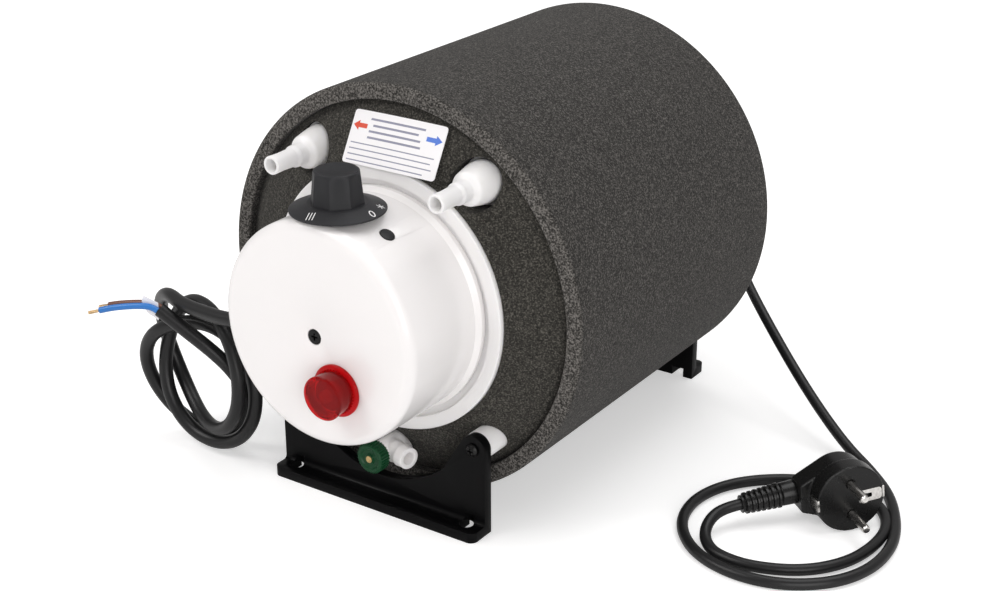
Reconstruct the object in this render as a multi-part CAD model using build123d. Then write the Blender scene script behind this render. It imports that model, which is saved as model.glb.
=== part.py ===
from build123d import *
import math
import os

# Small electric water heater for a caravan: a plastic tank in a foam jacket, carried by
# two angle brackets, with an electrical cover on each end. All lengths in millimetres.
# +Z is up and the front, with the thermostat knob, faces -Y. Places along the tank are
# given as a reach: the distance from the tank's middle plane, outwards.

# Shared clearances and habits
SKIN_GAP = 0.2          # between curved faces that rest on each other
PLAY = 0.05             # radial clearance of shafts, screws and pins in their holes
ARC_SHARE = 0.45        # of the shorter run beside a bend, taken by its arc
FULL_ARC_SHARE = 0.9    # largest part of a radius or run that a rounding may take
HALF_SHARE = 0.5
OVERRUN = 2.0           # how far a cutting tool passes a face
RIM_EASE = 0.8          # rounding of moulded rims

# Jacket and end insulation
JACKET_R = 120.0
JACKET_WALL = 9.6
JACKET_LENGTH = 222.0
JACKET_REARWARD = 7.0   # the jacket's middle sits behind the tank's middle
FLOOR_GAP = 3.5         # clear height under the jacket
DOME_R = 216.0          # outer face of the domed end insulation
DOME_REACH = 129.0      # where that face would meet the axis
END_FOAM = 15.0
FOAM_HOLE_GAP = 0.4

# Tank
TANK_WALL = 5.0
TANK_EDGE_R = 12.0
NECK_BORE_R = 45.0
RIM_FACE = 117.0        # reach of the tank's end rim
RIM_STEP = 3.0          # the cover's seat lies this much below the rim
SEAT_GAP = 4.0          # open ring between the cover's foot and the tank's rim
RIM_W = 7.6             # width of the tank's end rim

# Bosses that carry the brackets
BOSS_R = 8.4
BOSS_FACE = 118.1
BOSS_HOLE_DEPTH = 17.0
BOSS_ROOT = 31.2        # how far the bosses reach behind the tank's end

# Brackets: angle sections with two ears and two open slots
BRACKET_T = 6.0
BRACKET_FOOT = 17.8     # depth of the foot
EAR_R = 8.1
EAR_ANGLE = 48.25       # of the ears, below the horizontal
BOSS_INSET = 14.1       # ear centre inside the tank's wall
CRADLE_R = 63.0
CRADLE_RISE = 27.7      # cradle centre above the ears
EAR_W = 28.1            # width of each ear at the cradle
FOOT_CORNER_R = 4.5
BEND_R = 2.5
SLOT_EDGE = 10.6        # slot centre inside the bracket's side
SLOT_W = 8.2
SLOT_REACH = 9.0        # slot end centre, from the bracket's back
BRACKET_SCREW_R = 2.5
BRACKET_HEAD_R = 3.7
BRACKET_HEAD_H = 2.6
RECESS_W = 1.1          # cross recess of the screws
RECESS_DEPTH = 1.2

# Hose nozzles
NOZZLE_ANGLE = 53.75
NOZZLE_INSET = 17.2     # nozzle centre inside the tank's wall
PAD_R = 13.5
PAD_FACE = 97.0
SEAL_T = 1.2
SEAL_BORE_GAP = 0.3
NOZZLE_ROOT_R = 12.2
NOZZLE_SHOULDER_R = 9.3
NOZZLE_SHOULDER_FACE = 115.0
NOZZLE_NECK_FACE = 117.6
NOZZLE_NECK_R = 6.2
TAIL_R = 5.2
TAIL_TIP = 143.0
COLLAR_FACE = 123.0
COLLAR_W = 3.0
COLLAR_PROUD = 0.8
NOZZLE_BORE_R = 3.7
SPIGOT_R = 8.0
SPIGOT_REACH = 76.0
NOZZLE_HOLE_R = 14.0

# Water tubes inside the tank
TUBE_GAP = 0.1          # round the tube in its nozzle
TUBE_WALL = 1.0
TUBE_END = 60.0         # reach of the bend
TUBE_BEND_R = 9.0
PICKUP_RISE = 11.0      # above the nozzle's axis
DIP_GAP = 5.7           # above the tank's floor

# Drain valve
VALVE_INSET = 18.2      # valve centre inside the tank's wall
VALVE_BOSS_R = 9.0
VALVE_BOSS_FACE = 100.0
VALVE_SPIGOT_R = 5.0
VALVE_SPIGOT_REACH = 84.0
VALVE_HEX = 17.0
VALVE_HEX_T = 4.5
VALVE_R = 6.5
VALVE_NOSE = 9.5        # barrel beyond the spout's axis
VALVE_BORE_R = 3.2
SPOUT_OFFSET = 11.3     # spout's axis beyond the hexagon
SPOUT_TURN = 15.0       # the spout turns this far towards the front
SPOUT_LENGTH = 19.0
SPOUT_R = 6.3
SPOUT_BARB = 0.5
SPOUT_BORE_R = 3.75
SPINDLE_R = 2.0
SPINDLE_TAIL = 9.0      # spindle behind the spout's axis
VALVE_KNOB_R = 9.25
VALVE_KNOB_T = 8.0
VALVE_KNOB_GAP = 0.5
VALVE_KNOB_FLUTES = 24
FLUTE_R = 0.6
SPINDLE_PROUD = 0.5

# Element flanges and what is screwed to them
GASKET_T = 1.5
FLANGE_R = 60.0
FLANGE_T = 5.0
FLANGE_BOLTS = 6
FLANGE_BOLT_PITCH_R = 52.0
FLANGE_BOLT_START = 30.0
FLANGE_BOLT_R = 2.5
FLANGE_BOLT_AF = 8.0
FLANGE_BOLT_HEAD = 3.5
FLANGE_BOLT_DEPTH = 9.0
ELEMENT_R = 4.0
ELEMENT_HALF = 14.0     # half spacing of the two legs
ELEMENT_DROP = 16.0
ELEMENT_END = 30.0
ELEMENT_STUB = 8.0      # beyond the flange
TERMINAL_R = 2.0
TERMINAL_LENGTH = 8.0
ELEMENT_NUT_AF = 14.0
ELEMENT_NUT_T = 5.0
POCKET_RISE = 22.0
POCKET_R = 5.0
POCKET_WALL = 1.2
POCKET_END = 50.0
POCKET_COLLAR_R = 8.0
POCKET_COLLAR_T = 2.0
BULB_R = 3.2
BULB_LENGTH = 60.0
CAPILLARY_R = 1.0
CAPILLARY_BEND_R = 4.0
PILLAR_R = 4.5
PILLAR_BORE_R = 2.0
CUTOUT_DISC_R = 8.0
CUTOUT_DISC_T = 9.0
BLOCK_W = 22.0
BLOCK_H = 16.0
BLOCK_T = 15.0
BLOCK_X = 28.0
BLOCK_RISE = 6.0
BLOCK_SCREW_R = 2.2
BLOCK_SCREW_DEPTH = 3.0
BLOCK_SCREW_SHARES = (0.25, 0.75)

# Covers
COVER_R = 63.75
COVER_WALL = 2.2
COVER_FACE = 177.6
COVER_EDGE_R = 6.0
COVER_FOOT_STEP = 2.25  # the foot stands out this far
COVER_FOOT_T = 6.5
COVER_SCREW_R = 2.0
COVER_SCREW_DEPTH = 12.0
COVER_HEAD_R = 4.2
COVER_HEAD_H = 1.8
COUNTERBORE_R = 4.5
COUNTERBORE_DEPTH = 2.0
SCREW_BOSS_R = 8.0
SCREW_BOSS_T = 2.0

# Thermostat, its knob and shaft, on a vertical axis
THERMOSTAT_GAP = 3.4    # between the thermostat's case and the cover's face
PAD_HALF_W = 9.0
PAD_HALF_L = 18.0
PAD_RISE = 58.0
THERMOSTAT_HALF_W = 13.0
THERMOSTAT_HALF_L = 18.0
THERMOSTAT_H = 22.0
BUSH_R = 5.0
BUSH_TOP = 64.2
SHAFT_R = 3.0
SHAFT_FLAT = 1.0
SHAFT_LENGTH = 34.0
SHAFT_CAP = 4.0         # knob material above the shaft
THERMO_SCREW_HALF = 13.5
THERMO_SCREW_R = 1.9
THERMO_SCREW_LENGTH = 13.0
THERMO_HEAD_R = 3.4
THERMO_HEAD_H = 1.6
HEAD_SINK = 0.3
SKIRT_R = 26.0
SKIRT_RISE = 64.6
SKIRT_T = 2.2
SKIRT_LIP = 1.0         # rim height of the dished skirt
KNOB_R0 = 14.85
KNOB_R1 = 12.7
KNOB_TOP = 86.0
KNOB_FACETS = 10

# Thermal cut-out with its reset button
RESET_ANGLE = 61.6
RESET_SETBACK = 16.9    # between the cut-out and the cover's face
RESET_R = 4.0
RESET_TOP = 64.1
RESET_FOOT = 52.0
RESET_SPRING_R = 3.0
RESET_SPRING_WALL = 0.8
RESET_WELL = 47.5
RESET_BODY_R = 7.0
RESET_BODY_FOOT = 45.0
RESET_BODY_TOP = 57.0
RESET_NECK_R = 5.6
RESET_NECK_TOP = 61.25
RESET_HOLE_R = 4.3

# Pilot lamp
LAMP_X = 14.5
LAMP_DROP = 27.0
LENS_R = 12.0
LENS_WALL = 1.5
LENS_PROUD = 13.4
LENS_LIP = 0.5
LENS_LIP_T = 1.6
LENS_BASE_R = 14.75
LENS_BASE_T = 2.5
HOLDER_R = 8.8
HOLDER_FOOT = 158.0
HOLDER_TIP = 180.5
HOLDER_NUT_R = 12.0
HOLDER_NUT_T = 4.0
LAMP_R = 3.6
LAMP_LENGTH = 7.0

# Cable glands
GLAND_SETBACK = 10.9    # between the gland's flange and the cover's face
GLAND_NECK_R = 7.5
GLAND_FLANGE_R = 10.5
GLAND_FLANGE_TOP = 68.5
GLAND_TIP = 79.8
GLAND_TIP_WALL = 1.8
GLAND_FOOT = 54.0
GLAND_NUT_TOP = 60.4
GLAND_NUT_T = 4.0
LOW_GLAND_ANGLE = 193.0
MAINS_GLAND_ANGLE = -29.7

# Label on the end insulation
LABEL_W = 62.0
LABEL_X = 4.0
LABEL_RISE = 24.9       # above the tank's rim
LABEL_LAP = 1.5
LABEL_T = 0.4
LABEL_GAP = 0.25
LABEL_BEND_R = 290.0
LABEL_CORNER_R = 1.6

# Low-voltage cable: one tube from the gland through a loose standing coil, and two cores
LOW_R = 4.25
COIL_X = -130.95
COIL_Y = -126.6
COIL_LEAN = 0.171       # share of the coil's axis towards +X
COIL_TILT = 0.153       # share of the coil's axis upwards
COIL_R = 40.14
COIL_SPREAD = 9.11
COIL_FAN_SHARE = -0.055
COIL_TWIST = 1.25       # turns of the strands round each other, per turn of the coil
COIL_TURNS = 2.96
COIL_START = 82.8
COIL_STATIONS = 21
COIL_PHASE = 331.4
COIL_TAIL = 24.0
COIL_SAMPLES = 721
CORE_R = 1.9
CORE_SPACING = 4.5
CORE_STEPS = (          # run along the cable's end, drop and spread of each bend
    (9.0, 0.0, 0.0), (19.0, 3.0, 0.4), (29.0, 9.5, 0.9), (38.5, 18.5, 1.4), (47.0, 29.0, 1.9),
)
CORE_TIP_R = 1.1
CORE_TIP = 9.0
TAG_T = 0.3
TAG_W = 4.2
TAG_H = 7.0
TAG_SHARE = 0.35        # of the core's first run

# Mains cable and its angled plug
MAINS_R = 3.25
PLUG_X = 237.5
PLUG_Y = 1.2
PLUG_Z = 20.3
PLUG_CABLE_SHARES = (-0.66, -0.741, -0.121)     # direction of the cable's boot
PLUG_FACE_SHARES = (0.744, -0.667, 0.0248)      # direction that the pins point
PLUG_R = 20.0
PLUG_FACE_T = 11.0
PLUG_BACK = 28.0
PLUG_EASE = 2.0
HOOD_X = 24.0
HOOD_HALF = 8.5
PIN_R = 2.4
PIN_HALF = 9.5
PIN_LENGTH = 19.0
PIN_ROOT = 9.0
EARTH_W = 7.0
EARTH_T = 1.2
EARTH_DEPTH = 9.0
EARTH_HOLE_R = 2.4
EARTH_HOLE_X = 10.0
EARTH_HOLE_DEPTH = 3.0
BOOT_AXIS = 22.0        # behind the plug's face
BOOT_LENGTH = 32.0
BOOT_R0 = 6.8
BOOT_R1 = 5.4
BOOT_RIBS = 7
BOOT_RIB_PROUD = 0.9
BOOT_RIB_SHARE = 0.5    # of a rib's pitch

MAINS_START_RUN = 16.0
MAINS_END_RUN = 9.88
MAINS_LAY = MAINS_R     # height of its centre where it lies on the floor
MAINS_ROUTE = (
    (104.0, 142.0, 64.0), (128.0, 124.0, 50.0), (153.0, 107.0, 35.0), (178.0, 92.0, 20.5),
    (202.0, 79.0, 8.5), (224.0, 66.5, MAINS_LAY), (243.5, 46.0, MAINS_LAY),
    (258.0, 20.0, MAINS_LAY), (266.5, -6.0, MAINS_LAY), (266.0, -34.0, MAINS_LAY),
    (255.0, -58.0, MAINS_LAY), (233.0, -75.5, MAINS_LAY), (206.0, -80.5, MAINS_LAY),
    (178.5, -72.5, MAINS_LAY), (158.0, -50.5, MAINS_LAY), (151.5, -24.0, MAINS_LAY),
    (157.0, 1.0, MAINS_LAY), (172.0, 21.0, MAINS_LAY), (194.0, 36.0, MAINS_LAY),
    (220.0, 41.5, MAINS_LAY), (243.0, 33.0, MAINS_LAY), (256.5, 13.0, MAINS_LAY),
    (258.0, -12.0, MAINS_LAY), (252.0, -36.5, MAINS_LAY), (236.0, -57.0, MAINS_LAY),
    (211.22, -68.28, MAINS_LAY), (191.42, -67.7, 3.26), (181.49, -62.1, 4.03),
    (175.43, -53.57, 5.95), (173.81, -43.47, 9.09),
)

# Worked-out places
COVER_FOOT_R = COVER_R + COVER_FOOT_STEP
SEAT_R = COVER_FOOT_R + SEAT_GAP
RIM_R = SEAT_R + RIM_W
AXIS_Z = JACKET_R + FLOOR_GAP
MID_Y = LENS_PROUD / 2
JACKET_BORE_R = JACKET_R - JACKET_WALL
TANK_R = JACKET_BORE_R - SKIN_GAP
DOME_CENTRE = DOME_REACH - DOME_R
TANK_DOME_R = DOME_R - END_FOAM
SEAT = RIM_FACE - RIM_STEP
FLANGE_FACE = SEAT + GASKET_T + FLANGE_T
COVER_BORE_R = COVER_R - COVER_WALL
COVER_INSIDE = COVER_FACE - COVER_WALL
BRACKET_FACE = BOSS_FACE + BRACKET_T
LENS_FACE = COVER_FACE + LENS_PROUD
PILLAR_TOP = COVER_INSIDE - SCREW_BOSS_T
EAR_X = (TANK_R - BOSS_INSET) * math.cos(math.radians(EAR_ANGLE))
EAR_DROP = (TANK_R - BOSS_INSET) * math.sin(math.radians(EAR_ANGLE))
BRACKET_W = EAR_X + EAR_R
CRADLE_DROP = EAR_DROP - CRADLE_RISE
CRADLE_W = BRACKET_W - EAR_W
SLOT_X = BRACKET_W - SLOT_EDGE
NOZZLE_X = (TANK_R - NOZZLE_INSET) * math.cos(math.radians(NOZZLE_ANGLE))
NOZZLE_Z = (TANK_R - NOZZLE_INSET) * math.sin(math.radians(NOZZLE_ANGLE))
TUBE_R = NOZZLE_BORE_R - TUBE_GAP
TANK_FLOOR = math.sqrt((TANK_R - TANK_WALL)**2 - NOZZLE_X**2)
VALVE_DROP = TANK_R - VALVE_INSET
VALVE_HEX_END = VALVE_BOSS_FACE + SEAL_T + VALVE_HEX_T
SPOUT_REACH = VALVE_HEX_END + SPOUT_OFFSET
SPINDLE_SEAT = SPOUT_REACH - SPINDLE_TAIL
VALVE_FACE = SPOUT_REACH + VALVE_NOSE
KNOB_REACH = COVER_INSIDE - THERMOSTAT_GAP - THERMOSTAT_HALF_L
RESET_REACH = COVER_INSIDE - RESET_SETBACK - RESET_BODY_R
GLAND_REACH = COVER_INSIDE - GLAND_SETBACK - GLAND_FLANGE_R
LABEL_TOP = RIM_R + LABEL_RISE
PLAY_R = {"shaft": SHAFT_R + PLAY, "spindle": SPINDLE_R + PLAY, "reset": RESET_R + PLAY}

FROM_FOOT = (Align.CENTER, Align.CENTER, Align.MIN)
TANK_AXIS = Axis((0, MID_Y, AXIS_Z), (0, 1, 0))
MIDDLE = Plane(origin=(0, MID_Y, 0), z_dir=(0, 1, 0))
SECTION = Plane(origin=(0, MID_Y, AXIS_Z), x_dir=(1, 0, 0), z_dir=(0, 0, -1))


def dome(r, radius):
    """Reach of a domed face of that radius, at r from the tank's axis."""
    return DOME_CENTRE + math.sqrt(radius**2 - r**2)


def along(r, s0, s1, x=0, z=0):
    """A round bar parallel to the tank's axis, between two reaches at the front."""
    return Pos(x, MID_Y - s0, AXIS_Z + z) * Rot(90, 0, 0) * Cylinder(r, s1 - s0, align=FROM_FOOT)


def cone_along(r0, r1, s0, s1, x=0, z=0):
    """A tapered bar parallel to the tank's axis."""
    return Pos(x, MID_Y - s0, AXIS_Z + z) * Rot(90, 0, 0) * Cone(r0, r1, s1 - s0, align=FROM_FOOT)


def hex_along(flats, s0, s1, x=0, z=0):
    """A hexagonal bar parallel to the tank's axis."""
    outline = RegularPolygon(flats / 2, 6, major_radius=False)
    return Pos(x, MID_Y - s0, AXIS_Z + z) * Rot(90, 0, 0) * extrude(outline, s1 - s0)


def block(x0, x1, s0, s1, z0, z1):
    """A box between two reaches; heights are from the tank's axis."""
    size = Box(x1 - x0, s1 - s0, z1 - z0)
    return Pos((x0 + x1) / 2, MID_Y - (s0 + s1) / 2, AXIS_Z + (z0 + z1) / 2) * size


def radial_frame(u, angle, reach):
    """A plane square to a radius of the tank, u from the axis, its normal outwards."""
    a = math.radians(angle)
    out = (math.cos(a), 0, math.sin(a))
    foot = (u * out[0], MID_Y - reach, AXIS_Z + u * out[2])
    return Plane(origin=foot, x_dir=(0, -1, 0), z_dir=out)


def radial(r, u0, u1, angle, reach):
    """A round bar along a radius of the tank."""
    return radial_frame(u0, angle, reach) * Cylinder(r, u1 - u0, align=FROM_FOOT)


def turned(edges):
    """A solid of revolution about the tank's axis from edges in (radius, reach)."""
    return revolve(SECTION * make_face(edges), TANK_AXIS)


def chain(points):
    """Straight edges through the points, closed."""
    return Polyline(*points, close=True)


def dome_arc(r0, r1, radius, sign=1):
    """The arc of a domed face between two radii."""
    middle = (r0 + r1) / 2
    places = [(r, sign * dome(r, radius)) for r in (r0, middle, r1)]
    return ThreePointArc(*places)


def rear(shape):
    """The same piece at the rear end."""
    return mirror(shape, about=MIDDLE)


def ring_places(count, radius, start):
    """Places on a circle round the tank's axis, as (x, z)."""
    turns = [math.radians(start + 360 * i / count) for i in range(count)]
    return [(radius * math.cos(a), radius * math.sin(a)) for a in turns]


def cross_recess(width, reach, s0, x=0, z=0):
    """The cross-shaped driver recess of a screw head."""
    depth = s0 + OVERRUN
    bar = block(x - reach, x + reach, s0 - RECESS_DEPTH, depth, z - width / 2, z + width / 2)
    post = block(x - width / 2, x + width / 2, s0 - RECESS_DEPTH, depth, z - reach, z + reach)
    return bar + post


def tank_blank():
    """The tank's outer form, solid, with its two end rims."""
    edge = dome(TANK_R, TANK_DOME_R)
    flat = dome(RIM_R, TANK_DOME_R)
    body = turned([
        Line((0, -SEAT), (SEAT_R, -SEAT)),
        Line((SEAT_R, -SEAT), (SEAT_R, -RIM_FACE)),
        Line((SEAT_R, -RIM_FACE), (RIM_R, -RIM_FACE)),
        Line((RIM_R, -RIM_FACE), (RIM_R, -flat)),
        dome_arc(RIM_R, TANK_R, TANK_DOME_R, -1),
        Line((TANK_R, -edge), (TANK_R, edge)),
        dome_arc(TANK_R, RIM_R, TANK_DOME_R),
        Line((RIM_R, flat), (RIM_R, RIM_FACE)),
        Line((RIM_R, RIM_FACE), (SEAT_R, RIM_FACE)),
        Line((SEAT_R, RIM_FACE), (SEAT_R, SEAT)),
        Line((SEAT_R, SEAT), (0, SEAT)),
        Line((0, SEAT), (0, -SEAT)),
    ])
    return fillet(circles_of(body, TANK_R), TANK_EDGE_R)


def circles_of(shape, radius):
    """Edges that are circles of one radius."""
    rings = shape.edges().filter_by(GeomType.CIRCLE)
    return [e for e in rings if abs(e.radius - radius) < PLAY]


def tank_hollow():
    """The water space of the tank."""
    inner_r = TANK_R - TANK_WALL
    inner_dome = TANK_DOME_R - TANK_WALL
    edge = dome(inner_r, inner_dome)
    space = turned([
        dome_arc(0, inner_r, inner_dome, -1),
        Line((inner_r, -edge), (inner_r, edge)),
        dome_arc(inner_r, 0, inner_dome),
        Line((0, dome(0, inner_dome)), (0, -dome(0, inner_dome))),
    ])
    space = fillet(circles_of(space, inner_r), TANK_EDGE_R - TANK_WALL)
    return space + along(NECK_BORE_R, -RIM_FACE - OVERRUN, RIM_FACE + OVERRUN)


def make_tank():
    """Tank with bosses for the brackets, nozzle pads and the valve boss."""
    hollow = tank_hollow()
    tank = tank_blank()
    tank = fillet(circles_of(tank, RIM_R)[:1] + circles_of(tank, RIM_R)[-1:], RIM_EASE)
    depth = dome(NECK_BORE_R + BOSS_R, TANK_DOME_R) - BOSS_ROOT
    for x in (-EAR_X, EAR_X):
        boss = along(BOSS_R, depth, BOSS_FACE, x, -EAR_DROP)
        tank = tank + boss + rear(boss)
    for x in (-NOZZLE_X, NOZZLE_X):
        tank = tank + along(PAD_R, depth, PAD_FACE, x, NOZZLE_Z)
    tank = tank + along(VALVE_BOSS_R, depth, VALVE_BOSS_FACE, 0, -VALVE_DROP)
    tank = tank - hollow
    print("tank holds", round(hollow.volume / 1e6, 2), "litres")
    for x in (-EAR_X, EAR_X):
        hole = along(BRACKET_SCREW_R + PLAY, BOSS_FACE - BOSS_HOLE_DEPTH, BOSS_FACE + OVERRUN,
                     x, -EAR_DROP)
        tank = tank - hole - rear(hole)
    for x in (-NOZZLE_X, NOZZLE_X):
        tank = tank - along(PAD_R, PAD_FACE, RIM_FACE, x, NOZZLE_Z)
        tank = tank - along(SPIGOT_R + PLAY, depth, PAD_FACE + OVERRUN, x, NOZZLE_Z)
    tank = tank - along(VALVE_SPIGOT_R + PLAY, depth, VALVE_BOSS_FACE + OVERRUN, 0, -VALVE_DROP)
    for x, z in ring_places(FLANGE_BOLTS, FLANGE_BOLT_PITCH_R, FLANGE_BOLT_START):
        hole = along(FLANGE_BOLT_R + PLAY, SEAT - FLANGE_BOLT_DEPTH, SEAT + OVERRUN, x, z)
        tank = tank - hole - rear(hole)
    return tank


def make_jacket():
    """The foam tube round the tank."""
    front = JACKET_LENGTH / 2 - JACKET_REARWARD
    back = JACKET_LENGTH / 2 + JACKET_REARWARD
    tube = turned(chain([(JACKET_BORE_R, -back), (JACKET_R, -back), (JACKET_R, front),
                         (JACKET_BORE_R, front)]))
    return fillet(circles_of(tube, JACKET_R), RIM_EASE * 2)


def make_end_foam():
    """The domed foam disc with holes for the rim and the bosses."""
    inner = RIM_R + FOAM_HOLE_GAP
    lower = TANK_DOME_R + SKIN_GAP
    disc = turned([
        dome_arc(inner, TANK_R, DOME_R),
        Line((TANK_R, dome(TANK_R, DOME_R)), (TANK_R, dome(TANK_R, lower))),
        dome_arc(TANK_R, inner, lower),
        Line((inner, dome(inner, lower)), (inner, dome(inner, DOME_R))),
    ])
    for x in (-EAR_X, EAR_X):
        disc = disc - along(BOSS_R + SKIN_GAP, 0, BOSS_FACE, x, -EAR_DROP)
    return disc


def make_front_foam():
    """The front foam disc has further holes for the nozzles and the drain valve."""
    disc = make_end_foam()
    for x in (-NOZZLE_X, NOZZLE_X):
        disc = disc - along(NOZZLE_HOLE_R, 0, BOSS_FACE, x, NOZZLE_Z)
    return disc - along(VALVE_HEX / math.sqrt(3) + FOAM_HOLE_GAP, 0, BOSS_FACE, 0, -VALVE_DROP)


def make_bracket():
    """Front bracket: upright plate with ears and cradle, and a foot that points forward."""
    sheet = Plane(origin=(0, MID_Y - BOSS_FACE, 0), x_dir=(1, 0, 0), z_dir=(0, -1, 0))
    ear_z = AXIS_Z - EAR_DROP
    cradle_z = AXIS_Z - CRADLE_DROP
    corner_z = cradle_z - math.sqrt(CRADLE_R**2 - CRADLE_W**2)
    dx, dz = CRADLE_W - EAR_X, corner_z - ear_z
    tangent = math.atan2(dz, dx) % (2 * math.pi) - math.acos(EAR_R / math.hypot(dx, dz))

    def ear(angle, side):
        return (side * (EAR_X + EAR_R * math.cos(angle)), ear_z + EAR_R * math.sin(angle))

    right = [Line((BRACKET_W, 0), (BRACKET_W, ear_z)),
             ThreePointArc(ear(0, 1), ear(tangent / 2, 1), ear(tangent, 1)),
             Line(ear(tangent, 1), (CRADLE_W, corner_z))]
    left = [Line((-BRACKET_W, 0), (-BRACKET_W, ear_z)),
            ThreePointArc(ear(0, -1), ear(tangent / 2, -1), ear(tangent, -1)),
            Line(ear(tangent, -1), (-CRADLE_W, corner_z))]
    cradle = ThreePointArc((CRADLE_W, corner_z), (0, cradle_z - CRADLE_R), (-CRADLE_W, corner_z))
    outline = make_face(right + [cradle] + left + [Line((-BRACKET_W, 0), (BRACKET_W, 0))])
    plate = extrude(sheet * outline, BRACKET_T)
    foot = block(-BRACKET_W, BRACKET_W, BOSS_FACE, BOSS_FACE + BRACKET_FOOT,
                 -AXIS_Z, BRACKET_T - AXIS_Z)
    toe = [e for e in foot.edges().filter_by(Axis.Z)
           if e.center().Y < MID_Y - BRACKET_FACE]
    foot = fillet(toe, FOOT_CORNER_R)
    bracket = plate + foot
    bend = [e for e in bracket.edges().filter_by(Axis.X)
            if abs(e.center().Y - (MID_Y - BRACKET_FACE)) < PLAY
            and abs(e.center().Z - BRACKET_T) < PLAY]
    bracket = fillet(bend, BEND_R)
    for x in (-SLOT_X, SLOT_X):
        slot_end = BOSS_FACE + SLOT_REACH
        cut = block(x - SLOT_W / 2, x + SLOT_W / 2, BOSS_FACE - OVERRUN, slot_end,
                    -AXIS_Z - OVERRUN, BRACKET_T - AXIS_Z)
        end = Pos(x, MID_Y - slot_end, -OVERRUN) * Cylinder(
            SLOT_W / 2, BRACKET_T + BEND_R + OVERRUN * 2, align=FROM_FOOT)
        bracket = bracket - cut - end
    for x in (-EAR_X, EAR_X):
        bracket = bracket - along(BRACKET_SCREW_R + PLAY, BOSS_FACE - OVERRUN,
                                  BRACKET_FACE + OVERRUN, x, -EAR_DROP)
    return bracket


def make_bracket_screws():
    """The two screws of the front bracket."""
    screws = []
    for x in (-EAR_X, EAR_X):
        shank = along(BRACKET_SCREW_R, BOSS_FACE - BOSS_HOLE_DEPTH + RECESS_DEPTH,
                      BRACKET_FACE, x, -EAR_DROP)
        head = along(BRACKET_HEAD_R, BRACKET_FACE, BRACKET_FACE + BRACKET_HEAD_H, x, -EAR_DROP)
        head = fillet(circles_of(head, BRACKET_HEAD_R)[-1:], RIM_EASE)
        recess = cross_recess(RECESS_W, BRACKET_HEAD_R / 2, BRACKET_FACE + BRACKET_HEAD_H,
                              x, -EAR_DROP)
        screws.append(shank + head - recess)
    return screws


def make_nozzle(x):
    """A hose nozzle: spigot, wide tapered root, shoulder, neck, collar and tail."""
    foot = PAD_FACE + SEAL_T
    body = along(SPIGOT_R, SPIGOT_REACH, foot, x, NOZZLE_Z)
    root = cone_along(NOZZLE_ROOT_R, NOZZLE_SHOULDER_R, foot, NOZZLE_SHOULDER_FACE, x, NOZZLE_Z)
    shoulder = cone_along(NOZZLE_SHOULDER_R, NOZZLE_NECK_R, NOZZLE_SHOULDER_FACE,
                          NOZZLE_NECK_FACE, x, NOZZLE_Z)
    neck = along(NOZZLE_NECK_R, NOZZLE_NECK_FACE, COLLAR_FACE, x, NOZZLE_Z)
    collar_end = COLLAR_FACE + COLLAR_W
    collar = cone_along(TAIL_R + COLLAR_PROUD, TAIL_R, COLLAR_FACE, collar_end, x, NOZZLE_Z)
    tail = along(TAIL_R, collar_end, TAIL_TIP, x, NOZZLE_Z)
    bore = along(NOZZLE_BORE_R, SPIGOT_REACH - OVERRUN, TAIL_TIP + OVERRUN, x, NOZZLE_Z)
    return body + root + shoulder + neck + collar + tail - bore


def make_nozzle_seals():
    """Flat washers under the nozzle roots."""
    seals = []
    for x in (-NOZZLE_X, NOZZLE_X):
        disc = along(NOZZLE_ROOT_R, PAD_FACE, PAD_FACE + SEAL_T, x, NOZZLE_Z)
        seals.append(disc - along(SPIGOT_R + SEAL_BORE_GAP, PAD_FACE - OVERRUN,
                                  PAD_FACE + SEAL_T + OVERRUN, x, NOZZLE_Z))
    return seals


def make_water_tube(x, end_z):
    """A tube pushed into a nozzle's spigot, bent up or down inside the tank."""
    start = (x, MID_Y - SPIGOT_REACH - SPIGOT_R, AXIS_Z + NOZZLE_Z)
    corner = (x, MID_Y - TUBE_END, AXIS_Z + NOZZLE_Z)
    end = (x, MID_Y - TUBE_END, AXIS_Z + end_z)
    bend = min(TUBE_BEND_R, abs(end_z - NOZZLE_Z) * FULL_ARC_SHARE)
    path = FilletPolyline(start, corner, end, radius=bend)
    mouth = Plane(origin=start, z_dir=(0, 1, 0))
    tube = sweep(mouth * Circle(TUBE_R), path=path)
    return tube - sweep(mouth * Circle(TUBE_R - TUBE_WALL), path=path)


def make_valve_body():
    """Drain valve body: spigot, hexagon, barrel and the side spout."""
    z = -VALVE_DROP
    body = along(VALVE_SPIGOT_R, VALVE_SPIGOT_REACH, VALVE_BOSS_FACE + SEAL_T, 0, z)
    body = body + hex_along(VALVE_HEX, VALVE_BOSS_FACE + SEAL_T, VALVE_HEX_END, 0, z)
    body = body + along(VALVE_R, VALVE_HEX_END, VALVE_FACE, 0, z)
    turn = math.radians(SPOUT_TURN)
    out = (math.cos(turn), -math.sin(turn), 0)
    axis = Plane(origin=(0, MID_Y - SPOUT_REACH, AXIS_Z + z), x_dir=(0, 0, 1), z_dir=out)
    body = body + axis * Cylinder(SPOUT_R, SPOUT_LENGTH, align=FROM_FOOT)
    barb_h = SPOUT_R
    for place in (SPOUT_LENGTH - barb_h, SPOUT_LENGTH - barb_h * 2):
        barb = Cone(SPOUT_R + SPOUT_BARB, SPOUT_R, barb_h * HALF_SHARE, align=FROM_FOOT)
        body = body + axis * (Pos(0, 0, place) * barb)
    body = body - axis * Cylinder(SPOUT_BORE_R, SPOUT_LENGTH + OVERRUN, align=FROM_FOOT)
    body = body - along(VALVE_BORE_R, VALVE_SPIGOT_REACH - OVERRUN, SPOUT_REACH, 0, z)
    return body - along(PLAY_R["spindle"], SPOUT_REACH - OVERRUN, VALVE_FACE + OVERRUN, 0, z)


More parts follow.
